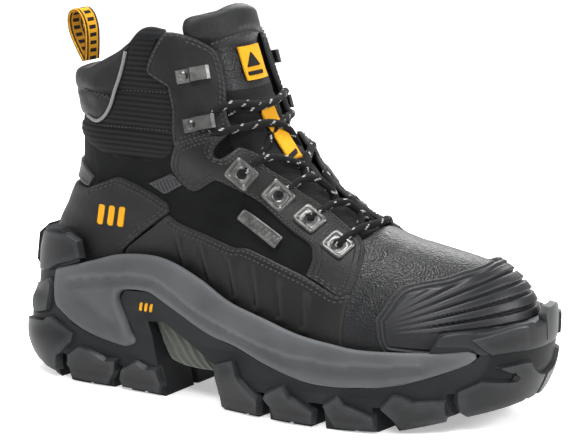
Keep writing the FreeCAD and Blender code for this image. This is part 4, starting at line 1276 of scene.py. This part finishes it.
def eyelet_frames(name, side):
    """Four pressed plates: a square frame with a sunk middle and a rolled round hole."""
    points, faces = [], []
    count, rings = EYELET_SIDES, len(EYELET_RINGS)
    turns = (np.arange(count) + 0.5) * 2 * math.pi / count
    across_hole, along_hole = np.sin(turns), np.cos(turns)
    for place in EYELETS:
        spot = found(TOE, [place], side)
        seat = TOE.on(spot, 0.0)[0]
        normal = TOE.on(spot, 1.0)[0] - seat
        across = np.cross(normal, EYELET_SLOPE)
        across /= np.linalg.norm(across)
        lengthwise = np.cross(across, normal)
        first = len(points) * count
        for half_long, half_wide, power, out in EYELET_RINGS:
            reach = (np.abs(along_hole) ** power + np.abs(across_hole) ** power) ** (-1 / power)
            ring = seat + out * normal + np.outer(reach * along_hole * half_long, lengthwise)
            points.append(ring + np.outer(reach * across_hole * half_wide, across))
        for j in range(rings):
            for k in range(count):
                a, b = first + j * count, first + (j + 1) % rings * count
                faces.append([a + k, a + (k + 1) % count, b + (k + 1) % count, b + k])
    piece = make_piece(name, np.vstack(points), faces, MAT["nickel"])
    tidy_mesh(piece)
    piece.data.set_sharp_from_angle(angle=EYELET_SHARP)
    return piece


for side_name, side in SIDES.items():
    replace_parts(eyelet_frames(f"eyelet_frames_{side_name}", side), f"eyelets_{side_name}")

# ---- small trims ----
REAR_PANEL = [[(40.8, 147), (54, 146), (66, 142)], [(66, 142), (66, 107)],
              [(66, 107), (50, 107), (32, 107)]]
leather_panel("rear_nubuck_panel", HEEL, mirrored_outline(HEEL, REAR_PANEL), -2.0, 2.0,
              MAT["nubuck"], None, 3.0)
TAB = [(38.6, 126), (49, 126), (62, 119), (57, 112), (45, 114.5), (34.6, 113)]
tab_half = np.vstack([resample(found(HEEL, ends, LATERAL), 1.2)[:-1] for ends in zip(TAB, TAB[1:])])
heel_tab = leather_panel("heel_tab_band", HEEL, both_sides(tab_half), -0.4, 2.0, MAT["tpu"],
                         lambda placed, away: -0.5 * groove(away, 2.2), 2.0, 0.8)
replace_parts(heel_tab, "heel_tab")


def slanted_bar(name, chart, start, low, high, width, slant, base, thick):
    """A thin yellow bar that leans forwards, on the outer side only."""
    bar = [(start, low), (start + width, low), (start + width + slant, high), (start + slant, high)]
    return leather_panel(name, chart, cornered(chart, bar, LATERAL), base, thick, MAT["yellow"],
                         None, 2.0, 0.35)


for k, start in enumerate((64.5, 71.5, 78.5)):
    mark = slanted_bar(f"heel_mark_bar_{k}", HEEL, start, 92, 104, 4.6, 2.0, 1.35, 0.55)
    if k == 0:
        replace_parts(mark, "heel_mark")
for k, start in enumerate((98.0, 101.6, 105.2)):
    slanted_bar(f"arch_mark_bar_{k}", SOLE[LATERAL], start, 47.2, 52.6, 2.2, 1.1, -0.1, 0.5)

FLEX_TAB = [(100, 119), (118, 127), (126, 121), (112, 113.5)]


def flex_relief(placed, away):
    along = (placed[:, 0] - 100) * 0.91 + (placed[:, 2] - 119) * 0.41
    return 0.7 * np.abs(np.sin(along * math.pi / 2.6)) * ease(away / 1.0) - 0.3


for side_name, side in SIDES.items():
    flex = leather_panel(f"flex_tab_ribs_{side_name}", HEEL, cornered(HEEL, FLEX_TAB, side), 0.0,
                         1.5, MAT["tpu"], flex_relief, 0.7, 0.5)
    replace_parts(flex, f"flex_tab_{side_name}")


def ridge_print(name, corners, body):
    """A thin dark print near the tongue's middle line, as (p, z) corners on the toe chart."""
    flat = straight_steps(corners, 1.0)
    flat[:, 1] = ridge_run(flat[:, 1])
    leather_panel(name, TOE, flat, -0.9, 0.75, MAT["ink"], None, 1.5, 0.3, body)


ridge_print("label_print_bar", [(-7, 179.5), (6.5, 179.5), (6.5, 182), (-7, 182)], "tongue_top")
ridge_print("label_print_peak", [(-6.5, 184), (6, 184), (-0.2, 192.5)], "tongue_top")
for k, low in enumerate((126.0, 135.0, 144.0)):
    stripe = [(-6, low), (4, low + 2.5), (4, low + 5), (-6, low + 2.5)]
    ridge_print(f"keeper_print_{k}", stripe, "boot")

BADGE = [(164, 111), (189, 97.5), (185.5, 91), (160, 105)]


def badge_relief(placed, away):
    """A raised frame round a field of slanted hatching."""
    frame_edge = 0.7 * (1 - ease((away - 0.8) / 0.3))
    along = placed[:, 0] * 0.88 - placed[:, 2] * 0.48
    hatch = 0.3 * ease(np.sin(along * math.pi / 1.5) * 3) * ease((away - 1.6) / 0.3)
    return frame_edge + hatch


badge = leather_panel("side_badge", HEEL, cornered(HEEL, BADGE, LATERAL), 0.0, 1.1, MAT["nickel"],
                      badge_relief, 0.4, 0.3)
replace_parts(badge, "badge")
